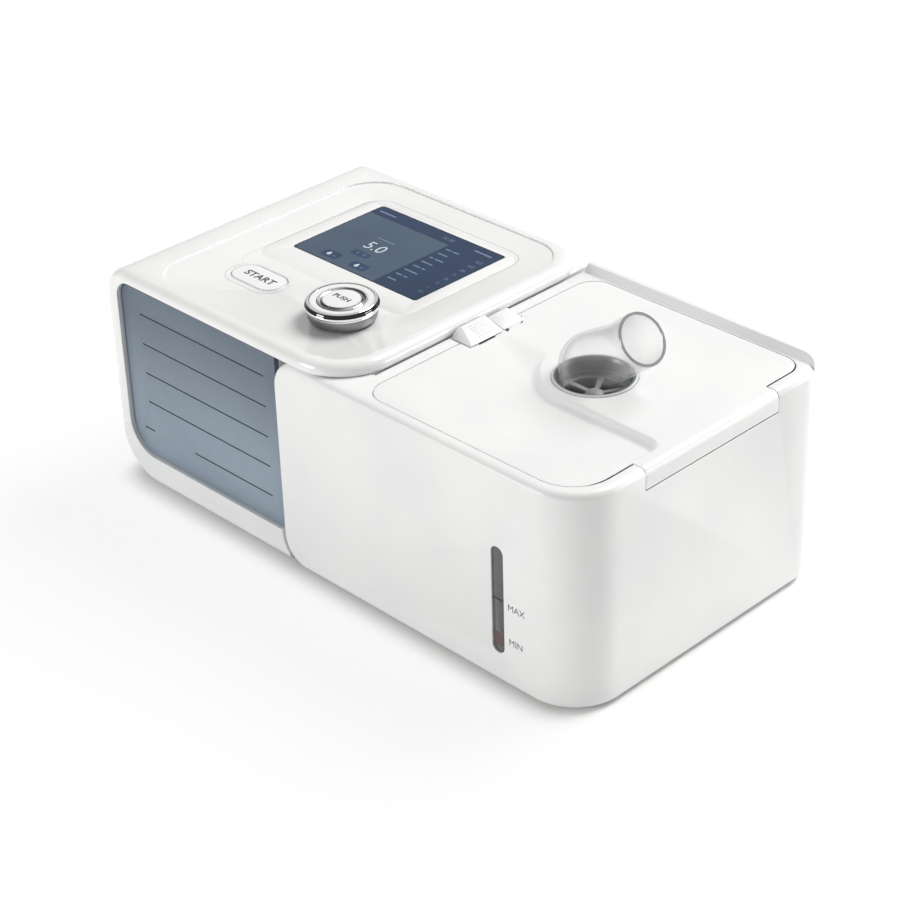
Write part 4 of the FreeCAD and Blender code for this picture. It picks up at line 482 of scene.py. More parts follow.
def lettering(bm, text, size, turn, place, stretch=1.0, thick=0.02, bold=0.0):
    """Add plain lettering to a bmesh, centred on a place and turned by a matrix."""
    curve = bpy.data.curves.new("lettering", "FONT")
    curve.body = text
    curve.size = size * MM
    curve.align_x = "CENTER"
    curve.align_y = "CENTER"
    curve.extrude = thick * MM
    curve.offset = bold * MM
    curve.resolution_u = 3
    holder = bpy.data.objects.new("lettering", curve)
    bpy.context.scene.collection.objects.link(holder)
    bpy.context.view_layer.update()
    graph = bpy.context.evaluated_depsgraph_get()
    mesh = bpy.data.meshes.new_from_object(holder.evaluated_get(graph))
    mesh.transform(Matrix.Translation(place) @ turn @ Matrix.Diagonal((stretch, 1, 1, 1)))
    bm.from_mesh(mesh)
    bpy.data.objects.remove(holder)


# ---- Repeats: one tree for a pattern along a row or round a circle ----
def build_repeat():
    tree = bpy.data.node_groups.new("repeat_in_row_or_ring", "GeometryNodeTree")
    sockets = (("Pattern", "Geometry"), ("Count", "Int"), ("Step", "Vector"), ("Turn", "Float"),
               ("Finish", "Material"))
    for name, kind in sockets:
        tree.interface.new_socket(name, in_out="INPUT", socket_type="NodeSocket" + kind)
    tree.interface.new_socket("Geometry", in_out="OUTPUT", socket_type="NodeSocketGeometry")
    given = add(tree, "NodeGroupInput").outputs
    line = add(tree, "GeometryNodeMeshLine", {"mode": "OFFSET"},
               {"Count": given["Count"], "Offset": given["Step"]})
    turn = add(tree, "ShaderNodeMath", {"operation": "MULTIPLY"},
               {0: add(tree, "GeometryNodeInputIndex"), 1: given["Turn"]})
    placed = add(tree, "GeometryNodeInstanceOnPoints", inputs={
        "Points": line, "Instance": given["Pattern"],
        "Rotation": add(tree, "ShaderNodeCombineXYZ", inputs={"Z": turn})})
    real = add(tree, "GeometryNodeRealizeInstances", inputs={"Geometry": placed})
    done = add(tree, "GeometryNodeSetMaterial", inputs={
        "Geometry": real, "Material": given["Finish"]})
    add(tree, "NodeGroupOutput", inputs={"Geometry": done})
    return tree


REPEAT = build_repeat()


def repeated(piece, finish, count, origin, step=(0, 0, 0), turn=0.0):
    """Repeat a piece's own mesh, modelled about the zero point, then carry it to its origin."""
    modifier = piece.modifiers.new("repeat", "NODES")
    modifier.node_group = REPEAT
    chosen = {"Count": count, "Step": [s * MM for s in step], "Turn": turn, "Finish": finish}
    for item in REPEAT.interface.items_tree:
        if item.in_out == "INPUT" and item.name in chosen:
            modifier[item.identifier] = chosen[item.name]
    settle(piece)
    piece.data.transform(Matrix.Translation(origin))
    return piece


def pattern(name, points, low, high, edge):
    """A small straight solid with soft edges about the zero point, for repeating."""
    bm = bmesh.new()
    prism(bm, points, low, high)
    bmesh.ops.translate(bm, verts=bm.verts, vec=-at(0, 0, 0))
    return soften(finished(name, bm), edge, 1)


# ---- Main unit: casings, panel, feet and back ----
casing = skin("main_shell", GLOSS_ABS, 0.45, "main_unit", "white_casing")
casing.data.materials.append(BLUE_ABS)
for face in casing.data.polygons:
    x, y, z = spot(face.center)
    # the casing's small corner under the slab, beside the panel, is painted with the panel
    if 104 < x < 122 and 2 < y < 18.9 and z > 78 and face.normal.z < 0.5:
        face.material_index = 1
skin("base_tray", WHITE_ABS, 0.4, "main_unit", "white_casing")
skin("filter_cover", WHITE_ABS, 0.2, "filter_door", "white_casing")
skin("main_feet", RUBBER, 0.5, "main_unit", "rubber_feet")
skin("humid_feet", RUBBER, 0.5, "humidifier", "rubber_feet")

panel = skin("front_panel", BLUE_ABS, 0.2, "main_unit", "blue_panel")
panel.data.materials.append(GROOVE_PAINTED_SHADE)
panel_face = spot(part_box("front_panel")[0])[1]
for face in panel.data.polygons:
    x, y, z = spot(face.center)
    # the walls and bottoms of the pressed lines take the painted shade
    if panel_face + 0.1 < y < panel_face + 0.7 and 14 < x < 100 and 20 < z < 90:
        face.material_index = 1

# ---- Slab: key, printed surround and screen ----
SURFACE = spot(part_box("control_overlay")[1])[2]
UPRIGHT = Matrix.Identity(4)

skin("control_overlay", GLOSS_ABS, 0.06, "main_unit", "printed_overlay")

skin("start_button", WHITE_ABS, 0.12, "start_key", "white_casing")
KEY_X, KEY_Y, KEY_TOP = middle_and_top("start_button")
bm = bmesh.new()
lettering(bm, "START", 5.4, UPRIGHT, at(KEY_X + 0.4, KEY_Y, KEY_TOP + 0.02), 1.1, bold=0.12)
dress(finished("key_word", bm, INK_AND_PAINTED_SHADOW), "start_key", "printed_overlay")

bm = bmesh.new()
ribbon(bm, pill(KEY_X, KEY_Y, 27.2, 13.7, 6.4), 0.22, KEY_TOP + 0.03, closed=True)
dress(finished("key_line", bm, FINE_INK), "start_key", "printed_overlay")

bm = bmesh.new()
# an open line around the key, and one that frames the screen and the knob's side
around_key = pill(KEY_X, KEY_Y - 0.7, 31.6, 18.2, 8.6, 14)
ribbon(bm, around_key[len(around_key) // 2 - 8:] + around_key[:6], 0.22, SURFACE + 0.03)
around_screen = (
    [(44.0, 41.5), (42.2, 42.0), (40.8, 43.4), (39.8, 45.6), (39.3, 48.0)]
    + [(39.2 + 0.1 * k, 48 + 8.0 * k) for k in range(1, 8)]
    + arc(49.5, 114.5, 9.5, 180, 90, 10) + [(60 + 10 * k, 124.0) for k in range(6)]
    + arc(120.5, 114.5, 9.5, 90, 0, 10) + [(130, 110 - 7.0 * k) for k in range(7)])
ribbon(bm, around_screen, 0.24, SURFACE + 0.03)
dress(finished("surround_line", bm, FINE_INK), "main_unit", "printed_overlay")

# the display, in millimetres from its own front left corner
SCREEN_CORNER, SCREEN_FAR = (Vector(spot(p)[:2]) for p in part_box("screen_window"))
WIDE, DEEP = SCREEN_FAR - SCREEN_CORNER
COLUMN = WIDE * 0.655  # where the table of settings starts
BAR = DEEP * 0.845  # the lower edge of the bar along the top
LAYER = 0.012
EDGE_TONE, FIELD_TONE, BAR_TONE, KEY_TONE, FIGURE_TONE, DIM_TONE = range(6)


def paint(bm, before, tone):
    """Give a finish to the faces that came after the first so many."""
    bm.faces.ensure_lookup_table()
    for face in bm.faces[before:]:
        face.material_index = tone


def field(bm, points, layer, tone):
    """A flat coloured field of the display; each layer lies a hair above the one below."""
    before = len(bm.faces)
    points = [SCREEN_CORNER + Vector(point) for point in points]
    prism(bm, points, SURFACE + LAYER * (layer - 1), SURFACE + LAYER * layer)
    paint(bm, before, tone)


def block(left, low, right, high, radius=0.0):
    """A rectangle's points, with rounded corners where it has a radius."""
    width, depth = right - left, high - low
    if radius:
        return pill(left + width / 2, low + depth / 2, width, depth, radius, 4)
    return [(left, low), (right, low), (right, high), (left, high)]


def figures(bm, text, size, x, y, tone):
    """Plain numbers of the display, over its fields."""
    before = len(bm.faces)
    place = at(SCREEN_CORNER.x + x, SCREEN_CORNER.y + y, SURFACE + 0.05)
    lettering(bm, text, size, UPRIGHT, place, thick=0.006)
    paint(bm, before, tone)


# each row of the table of settings: where its words start and end, and the figure at its end
SETTINGS = (
    (((2, 5), (6, 9.5)), "6.0"), (((2, 7.5),), "4.0"), (((2, 4), (5, 10)), "20"), (((2, 8.5),), "3"),
    (((2, 6), (7, 9)), "15"), (((2, 9.5),), "2"), (((2, 5.5), (6.5, 8.5)), "1"), (((2, 7),), "10"))


def make_display():
    """A plain treatment screen: one large figure, soft keys, a table of settings and a clock."""
    bm = bmesh.new()
    field(bm, block(0, 0, WIDE, DEEP, 3.0), 1, EDGE_TONE)
    field(bm, block(0.6, 0.6, WIDE - 0.6, DEEP - 0.6, 2.6), 2, BAR_TONE)
    corner = arc(3.2, 3.2, 2.6, 180, 270, 6)
    field(bm, corner + [(COLUMN, 0.6), (COLUMN, BAR), (0.6, BAR)], 3, FIELD_TONE)
    figures(bm, "5.0", 9.2, WIDE * 0.37, DEEP * 0.42, FIGURE_TONE)
    field(bm, block(21.5, 29.6, 32, 30.3, 0.3), 4, DIM_TONE)
    field(bm, block(22.5, 12.2, 32.5, 16.4, 1.2), 4, KEY_TONE)
    for text, x in (("4", 25.5), ("0", 29.5)):
        figures(bm, text, 2.8, x, 14.3, DIM_TONE)
    for x in (13.5, 30.5):
        field(bm, block(x, 3.2, x + 9.5, 8.8, 1.4), 4, KEY_TONE)
        field(bm, arc(x + 3.4, 5.7, 1.0, 150, 390, 10) + [(x + 3.4, 7.8)], 5, FIGURE_TONE)
        field(bm, block(x + 6.0, 5.4, x + 7.6, 5.8), 5, DIM_TONE)
    field(bm, block(3, BAR + 3.2, 13, BAR + 4.1, 0.3), 3, DIM_TONE)
    figures(bm, "12:30", 3.0, COLUMN - 4, BAR + 3.7, DIM_TONE)
    field(bm, block(COLUMN + 12, BAR + 3.1, WIDE - 4, BAR + 4.1, 0.4), 3, DIM_TONE)
    for row, (words, level) in enumerate(SETTINGS):
        y = BAR - 3.4 - row * 4.9
        for start, end in words:
            field(bm, block(COLUMN + start, y - 0.4, COLUMN + end, y + 0.4, 0.2), 3, DIM_TONE)
        figures(bm, level, 2.6, WIDE - 4.6, y, DIM_TONE)
    return finished("display", bm, SCREEN_EDGE, SCREEN_FIELD, SCREEN_BAR, SCREEN_PILL,
                    SCREEN_TEXT, SCREEN_DIM)


dress(make_display(), "main_unit", "screen_glass", "screen_window")

# ---- Knob: satin skirt, bulging bright band, white face with its bright ring ----
KNOB_X, KNOB_Y, _ = middle_and_top("knob_band")
KNOB = at(KNOB_X, KNOB_Y, spot(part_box("knob_skirt")[0])[2])

# outlines as (radius, height) from the knob's foot
dress(lathe("knob_foot", [
    (3.06, 0.6), (11.0, 0.6), (11.6, 0.0), (13.5, 0.0), (13.85, 0.15), (14.05, 0.5), (14.45, 2.0),
    (14.7, 3.4), (14.75, 4.2), (14.75, 4.42), (3.06, 4.42)], KNOB, SATIN_METAL),
    "knob", "steel", "knob_skirt")
dress(lathe("knob_shoulder", [
    (12.8, 4.4), (14.7, 4.4), (15.0, 4.5), *arc(14.0, 5.8, 1.3, -35, 35, 8), (14.85, 7.1), (14.6, 7.6),
    (14.3, 7.95), (13.95, 8.15), (13.6, 8.2), (13.3, 8.1), (13.15, 7.85), (12.8, 7.6)], KNOB, SHOULDER),
    "knob", "bright_metal", "knob_band")
dress(lathe("knob_face", [
    (0, 5.0), (12.8, 4.4), (12.8, 7.4), (13.15, 7.8), (13.0, 7.95), (12.0, 7.98), (10.9, 7.85),
    (10.35, 7.65), (10.25, 7.3), (10.2, 5.2), (0, 5.2)], KNOB, GLOSS_ABS),
    "knob", "white_casing", "knob_cap")
dress(lathe("knob_ring", [
    (7.8, 5.3), (10.2, 5.3), (10.2, 7.8), (10.0, 8.0), (9.75, 7.95), (9.5, 7.6), (9.2, 7.25),
    (8.8, 7.15), (8.5, 7.3), (8.3, 7.7), (8.1, 8.0), (7.9, 8.05), (7.8, 7.9)], KNOB, BEZEL),
    "knob", "bright_metal", "knob_inner_ring")
dress(lathe("knob_middle", [
    (0, 5.3), (7.78, 5.3), (7.78, 7.8), (7.6, 8.05), (7.2, 8.15), (5.0, 8.3), (2.5, 8.38), (0, 8.4)],
    KNOB, WHITE_ABS), "knob", "white_casing", "knob_centre")
bm = bmesh.new()
lettering(bm, "PUSH", 3.6, UPRIGHT, KNOB + Vector((0, 0, 8.36)) * MM, 1.05, thick=0.05, bold=0.1)
dress(finished("knob_word", bm, INK_AND_PAINTED_SHADOW), "knob", "printed_overlay")

# ---- Humidifier: casing and gauge ----
skin("humid_shell", WHITE_ABS, 0.4, "humidifier", "white_casing")
skin("water_window", GAUGE, 0.15, "humidifier", "gauge_lens")

LENS_X, _, _ = middle_and_top("water_window")
LENS_FACE = spot(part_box("water_window")[0])[1]
LENS_HALF = 3.1
FACING_FRONT = Matrix.Rotation(math.pi / 2, 4, "X")
MAX_LEVEL, MIN_LEVEL = 39.2, 22.6


def make_gauge_marks():
    """A dark line across the lens at the upper level and a tinted stretch at the lower one."""
    left, right = LENS_X - LENS_HALF, LENS_X + LENS_HALF
    bm = bmesh.new()
    prism(bm, block(left, MAX_LEVEL - 0.35, right, MAX_LEVEL + 0.35),
          LENS_FACE - 0.04, LENS_FACE + 0.2, "Y")
    before = len(bm.faces)
    prism(bm, block(left, MIN_LEVEL - 4.7, right, MIN_LEVEL + 1.6),
          LENS_FACE - 0.02, LENS_FACE + 0.2, "Y")
    paint(bm, before, 1)
    return finished("gauge_marks", bm, GAUGE_LINE, GAUGE_LOW)


dress(make_gauge_marks(), "humidifier", "gauge_lens")
bm = bmesh.new()
for text, x, level in (("MAX", LENS_X + 9.6, MAX_LEVEL - 0.9), ("MIN", LENS_X + 9.2, MIN_LEVEL)):
    lettering(bm, text, 4.1, FACING_FRONT, at(x, 0.0, level), thick=0.015)
dress(finished("gauge_words", bm, INK_AND_PAINTED_SHADOW), "humidifier", "printed_overlay")

# ---- Lid: one sheet with its scoop, rolled over its edges, and a flap over the end ----
LID_TOP = 97.0
LID_LOW = spot(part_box("lid_liner")[1])[2]
LID_LEFT, LID_SIDE, LID_FRONT, LID_BACK = 155.0, 265.74, 5.4, 136.5
FLAP_LOW = spot(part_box("lid_panel")[0])[2]
FLAP_FRONT, FLAP_BACK, FLAP_RIGHT, FLAP_ROLL = 36.5, 113.0, 272.0, 3.0
FLAP_ROOT = 267.0  # where the underside steps down into the flap
HINGE_X, HINGE_Z, SWEEP_GAP = 269.5, 90.8, 0.3
RIM = 0.45  # the radius that the lid's edges roll over
PORT_X, PORT_Y, _ = middle_and_top("port_ring")
PORT_R = spot(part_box("port_ring")[1])[0] - PORT_X
LATCH_SLOT = (156.3, 63.3, 161.1, 72.3)
# the casing's rim beside the lid: its straight side, and the x, y and radius of its two corners
RIM_SIDE = 266.3
RIM_CORNERS = ((248.5, 22.9, 17.8), (257.0, 127.5, 9.3))
# the scoop: its depth, the wall that curls round the port, its right wall and the corner there
SCOOP = 3.8
CURL_X, CURL_Y, CURL_R = 213.8, 82.2, 27.5
SCOOP_RIGHT, SCOOP_CORNER = 265.0, 7.0
SCOOP_BACK = CURL_Y - CURL_R
COVE = 3.6  # the width of the steep stretch under its walls
# its four gentle ramps: where each one starts, the way it falls and how far it runs
RAMPS = (((0, 9), (0, 1), SCOOP_BACK - 9), ((160, 0), (1, 0), 32), ((0, 76), (0, -1), 14),
         ((265.6, 37.5), (-0.545, 0.839), 14))


def scoop_distance(x, y):
    """How far a place is into the scoop from the wall that curls round the port."""
    if x < CURL_X and y < CURL_Y:
        wall = math.hypot(x - CURL_X, y - CURL_Y) - CURL_R
    else:
        wall = SCOOP_BACK - y if x >= CURL_X else CURL_X - CURL_R - x
    right = SCOOP_RIGHT - x
    if wall < SCOOP_CORNER and right < SCOOP_CORNER:
        return SCOOP_CORNER - math.hypot(SCOOP_CORNER - wall, SCOOP_CORNER - right)
    return min(wall, right)


def smooth_least(a, b, soft):
    """The smaller of two numbers, with the change from one to the other rounded."""
    share = max(soft - abs(a - b), 0) / soft
    return min(a, b) - share * share * soft / 4


def scoop_depth(x, y):
    """Four gentle ramps and a cove that is steepest under its upper edge."""
    into = scoop_distance(x, y)
    into = (into + math.sqrt(into * into + 0.06)) / 2
    steep = 1 - max(0.0, 1 - into / COVE) ** 2
    depth = SCOOP
    for (start_x, start_y), (way_x, way_y), run in RAMPS:
        fall = ((x - start_x) * way_x + (y - start_y) * way_y) * SCOOP / run
        depth = smooth_least(depth, fall, 0.9)
    depth = (depth + math.sqrt(depth * depth + 0.01)) / 2 - 0.03
    return max(0.0, depth) * steep


def lid_height(x, y):
    """The lid's upper side, which rolls down over the end at the flap."""
    over = min(x - (FLAP_RIGHT - FLAP_ROLL), FLAP_ROLL)
    if over <= 0:
        return LID_TOP - scoop_depth(x, y)
    return LID_TOP - FLAP_ROLL + math.sqrt(max(0.0, FLAP_ROLL ** 2 - over ** 2))


def lid_low(x, y):
    return FLAP_LOW if x > FLAP_ROOT else LID_LOW


def hinge_limit(y, z):
    """How far right the lid may reach beside its flap, clear of the rim when it turns."""
    rim = RIM_SIDE
    for (middle_x, middle_y, radius), way in zip(RIM_CORNERS, (-1, 1)):
        past = (y - middle_y) * way
        if past > 0:
            rim = middle_x + math.sqrt(max(0.0, radius ** 2 - past ** 2))
    reach = math.hypot(HINGE_X - rim, LID_TOP - HINGE_Z) + SWEEP_GAP
    return HINGE_X - math.sqrt(max(0.0, reach ** 2 - (z - HINGE_Z) ** 2))


def beside_flap(point, z):
    """A point's x, kept clear of the rim except on the flap, whose own sides start just past
    the lid's side."""
    if point.x < LID_SIDE + 0.27 and not FLAP_FRONT < point.y < FLAP_BACK:
        return min(point.x, hinge_limit(point.y, z))
    return point.x


def lid_spots():
    """Places for the sheet's inner points: a grid that gives way to lines along the cove, and
    rows round the flap's roll."""
    grid = [(156 + 1.6 * i, 6 + 1.6 * j) for i in range(70) for j in range(82)]
    spots = [(x, y) for x, y in grid if abs(scoop_distance(x, y) - 1.4) > 2.6]
    corner_x, corner_y = SCOOP_RIGHT - SCOOP_CORNER, SCOOP_BACK - SCOOP_CORNER
    for away in (-0.9, -0.4, -0.1, 0.2, 0.6, 1.1, 1.7, 2.4, 3.1, 3.8):
        spots += [(x, SCOOP_BACK - away) for x in np.arange(CURL_X, corner_x, 1.0)]
        spots += [(CURL_X + (CURL_R + away) * math.cos(t), CURL_Y + (CURL_R + away) * math.sin(t))
                  for t in np.linspace(math.pi, 1.5 * math.pi, 42)]
        bend = SCOOP_CORNER - away
        spots += [(corner_x + bend * math.cos(t), corner_y + bend * math.sin(t))
                  for t in np.linspace(0, math.pi / 2, 12)]
        spots += [(SCOOP_RIGHT - away, y) for y in np.arange(36, corner_y, 1.0)]
    return spots + [(FLAP_RIGHT - FLAP_ROLL * (1 - math.sin(math.radians(a))), y)
                    for a in (0, 15, 30, 45, 60, 74)
                    for y in np.linspace(FLAP_FRONT, FLAP_BACK, 26)[1:-1]]


def make_lid():
    """The sheet, its rolled edges, its walls and its underside, ring by ring."""
    edge = outline([
        (LID_LEFT, LID_FRONT, 10), (LID_SIDE, LID_FRONT, 17.5), (LID_SIDE, FLAP_FRONT, 0),
        (FLAP_RIGHT, FLAP_FRONT, 0), (FLAP_RIGHT, FLAP_BACK, 0), (LID_SIDE, FLAP_BACK, 0),
        (LID_SIDE, LID_BACK, 9), (LID_LEFT, LID_BACK, 10)])
    edge = [(p, Vector((0, n.y)) if p.x > FLAP_RIGHT - 0.1 else n) for p, n in edge]
    hole = ring_outline(PORT_X, PORT_Y, PORT_R, 72)
    corners = [(x, y, 0) for x, y in block(*LATCH_SLOT)]
    slot = [(p, -n) for p, n in outline(corners)][::-1]
    loops = [edge, hole, slot]
    bm = bmesh.new()
    tops = sheet(bm, [[p + n * RIM for p, n in loop] for loop in loops], lid_spots(), lid_height, 0.45)
    ends = []
    for loop, ring in zip(loops, tops):
        rounded = ring
        for turn in (math.radians(30), math.radians(60), math.radians(90)):
            rolled = []
            for (p, n), v in zip(loop, rounded):
                place = p + n * RIM * (1 - math.sin(turn))
                z = spot(v.co)[2] - RIM * (1 - math.cos(turn))
                rolled.append(bm.verts.new(at(beside_flap(place, z), place.y, z)))
            bridge(bm, ring, rolled)
            ring = rolled
        start = [spot(v.co)[2] for v in ring]
        for share in (0.2, 0.4, 0.6, 0.8):
            wall = []
            for (p, n), top in zip(loop, start):
                z = top + (lid_low(p.x, p.y) - top) * share
                wall.append(bm.verts.new(at(beside_flap(p, z), p.y, z)))
            bridge(bm, ring, wall)
            ring = wall
        ends.append((ring, [Vector((beside_flap(p, LID_LOW), p.y)) for p, n in loop]))
    # two rows across the flap's root, where the underside steps down, and a place either side
    rows = [(x, y) for x in (266.6, 267.4) for y in np.arange(FLAP_FRONT + 1, FLAP_BACK, 3)]
    bottoms = sheet(bm, [loop for _, loop in ends], rows + [(210, 100), (180, 40)], lid_low, 0.2)
    for (ring, _), bottom in zip(ends, bottoms):
        bridge(bm, ring, bottom)
    return finished("lid_sheet", bm, WHITE_ABS, angle=50)


dress(make_lid(), "lid", "white_casing", "lid_panel")

# the tab behind the latch, with its dark notch and curled end drawn in as painted shadow
bm = bmesh.new()
prism(bm, [(150.3, 97.2), (160.4, 97.0), (160.4, 97.35), (151.4, 99.4), (150.6, 99.2), (150.3, 98.7)],
      78.2, 89.8, "Y")
dress(soften(finished("lid_tab", bm, WHITE_ABS), 0.25), "lid", "white_casing")
# painted shadow in dark ink: a triangle in the notch and a line along the curled end
bm = bmesh.new()
prism(bm, [(158.2, 78.6), (162.4, 78.2), (161.2, 80.6)], 96.9, 97.06)
ribbon(bm, [(156.9, 92.0), (157.6, 90.6), (158.9, 89.4), (160.4, 88.6), (161.2, 87.6), (161.4, 86.2)],
       0.5, 97.06)
dress(finished("tab_painted_shadows", bm, INK_AND_PAINTED_SHADOW), "lid", "white_casing")

# ---- Latch: a thumb wedge with fine ribs ----
LATCH = [spot(p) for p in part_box("latch_pad")]
LATCH_LOW = LID_TOP + 0.75  # the wedge's thin end
CREST = 1.2  # from the wedge's tall end to its highest line


def make_latch():
    """The wedge falls away from the slab, and its front end is cut on the slant."""
    (left, front, _), (right, back, high) = LATCH
    foot = LID_TOP + 0.3
    profile = [(left, foot), (right, foot), (right, LATCH_LOW), (left + CREST, high), (left, high - 0.7)]
    bm = bmesh.new()
    near = [bm.verts.new(at(x, front + 5.0 * (z - foot) / (high - foot), z)) for x, z in profile]
    far = [bm.verts.new(at(x, back, z)) for x, z in profile]
    bm.faces.new(near[::-1])
    bm.faces.new(far)
    bridge(bm, near, far)
    return soften(finished("latch_wedge", bm, WHITE_ABS), 0.4, 3)


dress(make_latch(), "latch", "white_casing", "latch_pad")
slope = (LATCH_LOW - LATCH[1][2]) / (LATCH[1][0] - LATCH[0][0] - CREST)
rib = pattern("latch_ribs", pill(0, 0, 0.55, 9.6, 0.25, 3), -0.2, 0.22, 0.06)
first_rib = at(LATCH[0][0] + 2.8, 70.6, LATCH[1][2] + 1.6 * slope)
dress(repeated(rib, WHITE_ABS, 6, first_rib, step=(1.25, 0, 1.25 * slope)), "latch", "white_casing")

# ---- Outlet: port seal, spoked baffle and clear elbow ----
PORT = at(PORT_X, PORT_Y, 0)
SEAL_TOP = spot(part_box("port_ring")[1])[2]
dress(lathe("port_lip", [
    (15.9, 93.0), (PORT_R - 0.05, 93.0), (PORT_R - 0.05, SEAL_TOP - 0.4), (PORT_R - 0.3, SEAL_TOP - 0.1),
    (16.3, SEAL_TOP), (15.95, SEAL_TOP - 0.15), (15.9, SEAL_TOP - 0.5)], PORT, SOFT_SEAL),
    "lid", "silicone")
dress(lathe("port_seal", [
    (14.5, LID_LOW), (15.9, LID_LOW), (15.9, SEAL_TOP - 0.5), (15.7, SEAL_TOP - 0.25),
    (15.2, SEAL_TOP - 0.3), (14.7, SEAL_TOP - 1.2), (14.5, SEAL_TOP - 2.0)], PORT, SEAL),
    "lid", "silicone", "port_ring")

BAFFLE_LOW, BAFFLE_TOP = (spot(corner)[2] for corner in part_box("outlet_baffle"))
dress(lathe("baffle_rim", [
    (0, BAFFLE_LOW), (3.6, BAFFLE_LOW), (3.6, BAFFLE_TOP), (2.4, BAFFLE_TOP + 0.8), (0, BAFFLE_TOP + 1.0)],
    PORT, BAFFLE_ABS, steps=48), "lid", "dark_plastic", "outlet_baffle")
dress(lathe("baffle_ring", [
    (13.0, BAFFLE_LOW), (18.1, BAFFLE_LOW), (18.1, BAFFLE_TOP), (13.4, BAFFLE_TOP),
    (13.0, BAFFLE_TOP - 0.4)], PORT, BAFFLE_ABS), "lid", "dark_plastic")
spoke = pattern("baffle_spokes", [(3.0, -0.9), (13.6, -1.3), (13.6, 1.3), (3.0, 0.9)],
                BAFFLE_LOW + 0.1, BAFFLE_TOP - 0.1, 0.15)
dress(repeated(spoke, BAFFLE_ABS, 6, PORT, turn=math.pi / 3), "lid", "dark_plastic")

# the elbow's mouth leans over to the right from a knee above the port
LEAN = math.radians(51)
MOUTH_WAY = Vector((math.sin(LEAN), 0, math.cos(LEAN)))
MOUTH_UP = Vector((-math.cos(LEAN), 0, math.sin(LEAN)))
KNEE = Vector((PORT_X, PORT_Y, 102.4))
CUFF, MOUTH_END = 17.0, 31.0
RISER_R, RISER_BORE, MOUTH_R, MOUTH_BORE = 14.2, 12.7, 11.0, 9.7
ELBOW_LOW = spot(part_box("outlet_elbow")[0])[2]


def elbow_wall(riser, knee_shift, mouth, low, reach):
    """Rings of one surface of the elbow: a riser, a mitred knee with a rounded heel and a
    tapering mouth.  riser and mouth are its radii there."""
    lines = []
    for i in range(80):
        turn = 2 * math.pi * i / 80
        c, s = math.cos(turn), math.sin(turn)
        start = Vector((PORT_X + riser * c, PORT_Y + riser * s, low))
        bend = Vector((start.x, start.y, KNEE.z + 1.8 - 0.36 * riser * c + knee_shift * c))
        round_mouth = Vector((0, mouth * s, 0)) - MOUTH_UP * mouth * c
        cuff = KNEE + MOUTH_WAY * CUFF + round_mouth
        end = KNEE + MOUTH_WAY * reach + round_mouth
        heel = 2.2 - 5.2 * min(0.0, c)
        before = bend - Vector((0, 0, min(heel, (bend.z - low) * 0.6)))
        after = bend + (cuff - bend).normalized() * min(heel, (cuff - bend).length * 0.6)
        curve = [before * (1 - t) ** 2 + bend * 2 * t * (1 - t) + after * t ** 2
                 for t in (k / 8 for k in range(9))]
        lines.append([start, start.lerp(before, 0.5), *curve, after.lerp(cuff, 0.5), cuff,
                      cuff.lerp(end, 0.5), end])
    return [list(ring) for ring in zip(*lines)]


def make_elbow():
    """A clear wall with its inner and outer side and a softened end."""
    outside = elbow_wall(RISER_R, 0.0, MOUTH_R, ELBOW_LOW, MOUTH_END - 0.4)
    lip = elbow_wall(RISER_R, 0.0, MOUTH_R - 0.15, ELBOW_LOW, MOUTH_END)[-1]
    bore = elbow_wall(RISER_BORE, -0.35, MOUTH_BORE, ELBOW_LOW - 0.02, MOUTH_END - 0.3)
    mouth = elbow_wall(RISER_BORE, -0.35, MOUTH_BORE + 0.15, ELBOW_LOW, MOUTH_END)[-1]
    rings = outside + [lip, mouth] + bore[::-1]
    bm = bmesh.new()
    made = [[bm.verts.new(at(*point)) for point in ring] for ring in rings]
    for first, second in zip(made, made[1:] + made[:1]):
        bridge(bm, first, second)
    piece = finished("elbow_body", bm, CLEAR, CLEAR_EDGE, angle=60)
    # the faces at the mouth's end take the dark edge finish, partly painted shade
    for face in piece.data.polygons:
        along = (Vector(spot(face.center)) - KNEE).dot(MOUTH_WAY)
        face.material_index = 1 if along > MOUTH_END - 0.25 else 0
    return piece


dress(make_elbow(), "elbow", "clear_plastic", "outlet_elbow")

# ---- Finishes of the CAD pieces that show as they are ----
FINISHES = {
    STEEL: ("board_screws", "power_screws", "push_shaft", "hinge_pins", "tank_plate"),
    DARK_ABS: ("screen_module", "rotary_encoder", "start_switch", "power_jack", "dock_socket",
               "dock_plug", "heater_cup"),
    INNER_ABS: ("muffler_box", "blower_mount", "volute_base", "volute_cover", "outlet_spigot",
                "impeller", "lid_liner"),
    ALUMINIUM: ("blower_motor", "heater_plate"),
    BOARD: ("control_board", "power_board"),
    SOFT_SEAL: ("dock_seal", "lid_gasket", "heater_pad"),
    FOAM: ("muffler_foam",),
    FILTER: ("air_filter",),
    TANK_CLEAR: ("water_tank",),
}
shown = {name: finish for finish, names in FINISHES.items() for name in names}
stand_in = {name: WHITE_ABS for name in NODES if name not in shown}
for name, finish in {**stand_in, **shown}.items():
    slots = NODES[name].data.materials
    slots.clear()
    slots.append(finish)


# ---- Floor, light and camera ----
def white_to_eye(tree, shader, share):
    """Mix a shader with plain white for what the camera and mirrors see of it.  The share is a
    number or a node."""
    path = add(tree, "ShaderNodeLightPath").outputs
    seen = add(tree, "ShaderNodeMath", {"operation": "MULTIPLY_ADD"},
               {0: path["Is Glossy Ray"], 1: 0.45, 2: path["Is Camera Ray"]})
    seen = add(tree, "ShaderNodeMath", {"operation": "ADD", "use_clamp": True},
               {0: seen, 1: path["Is Transmission Ray"]})
    part = add(tree, "ShaderNodeMath", {"operation": "MULTIPLY"}, {0: seen, 1: share})
    white = add(tree, "ShaderNodeEmission", inputs={"Color": srgb("ffffff"), "Strength": 1.0})
    return add(tree, "ShaderNodeMixShader", inputs={0: part, 1: shader, 2: white})


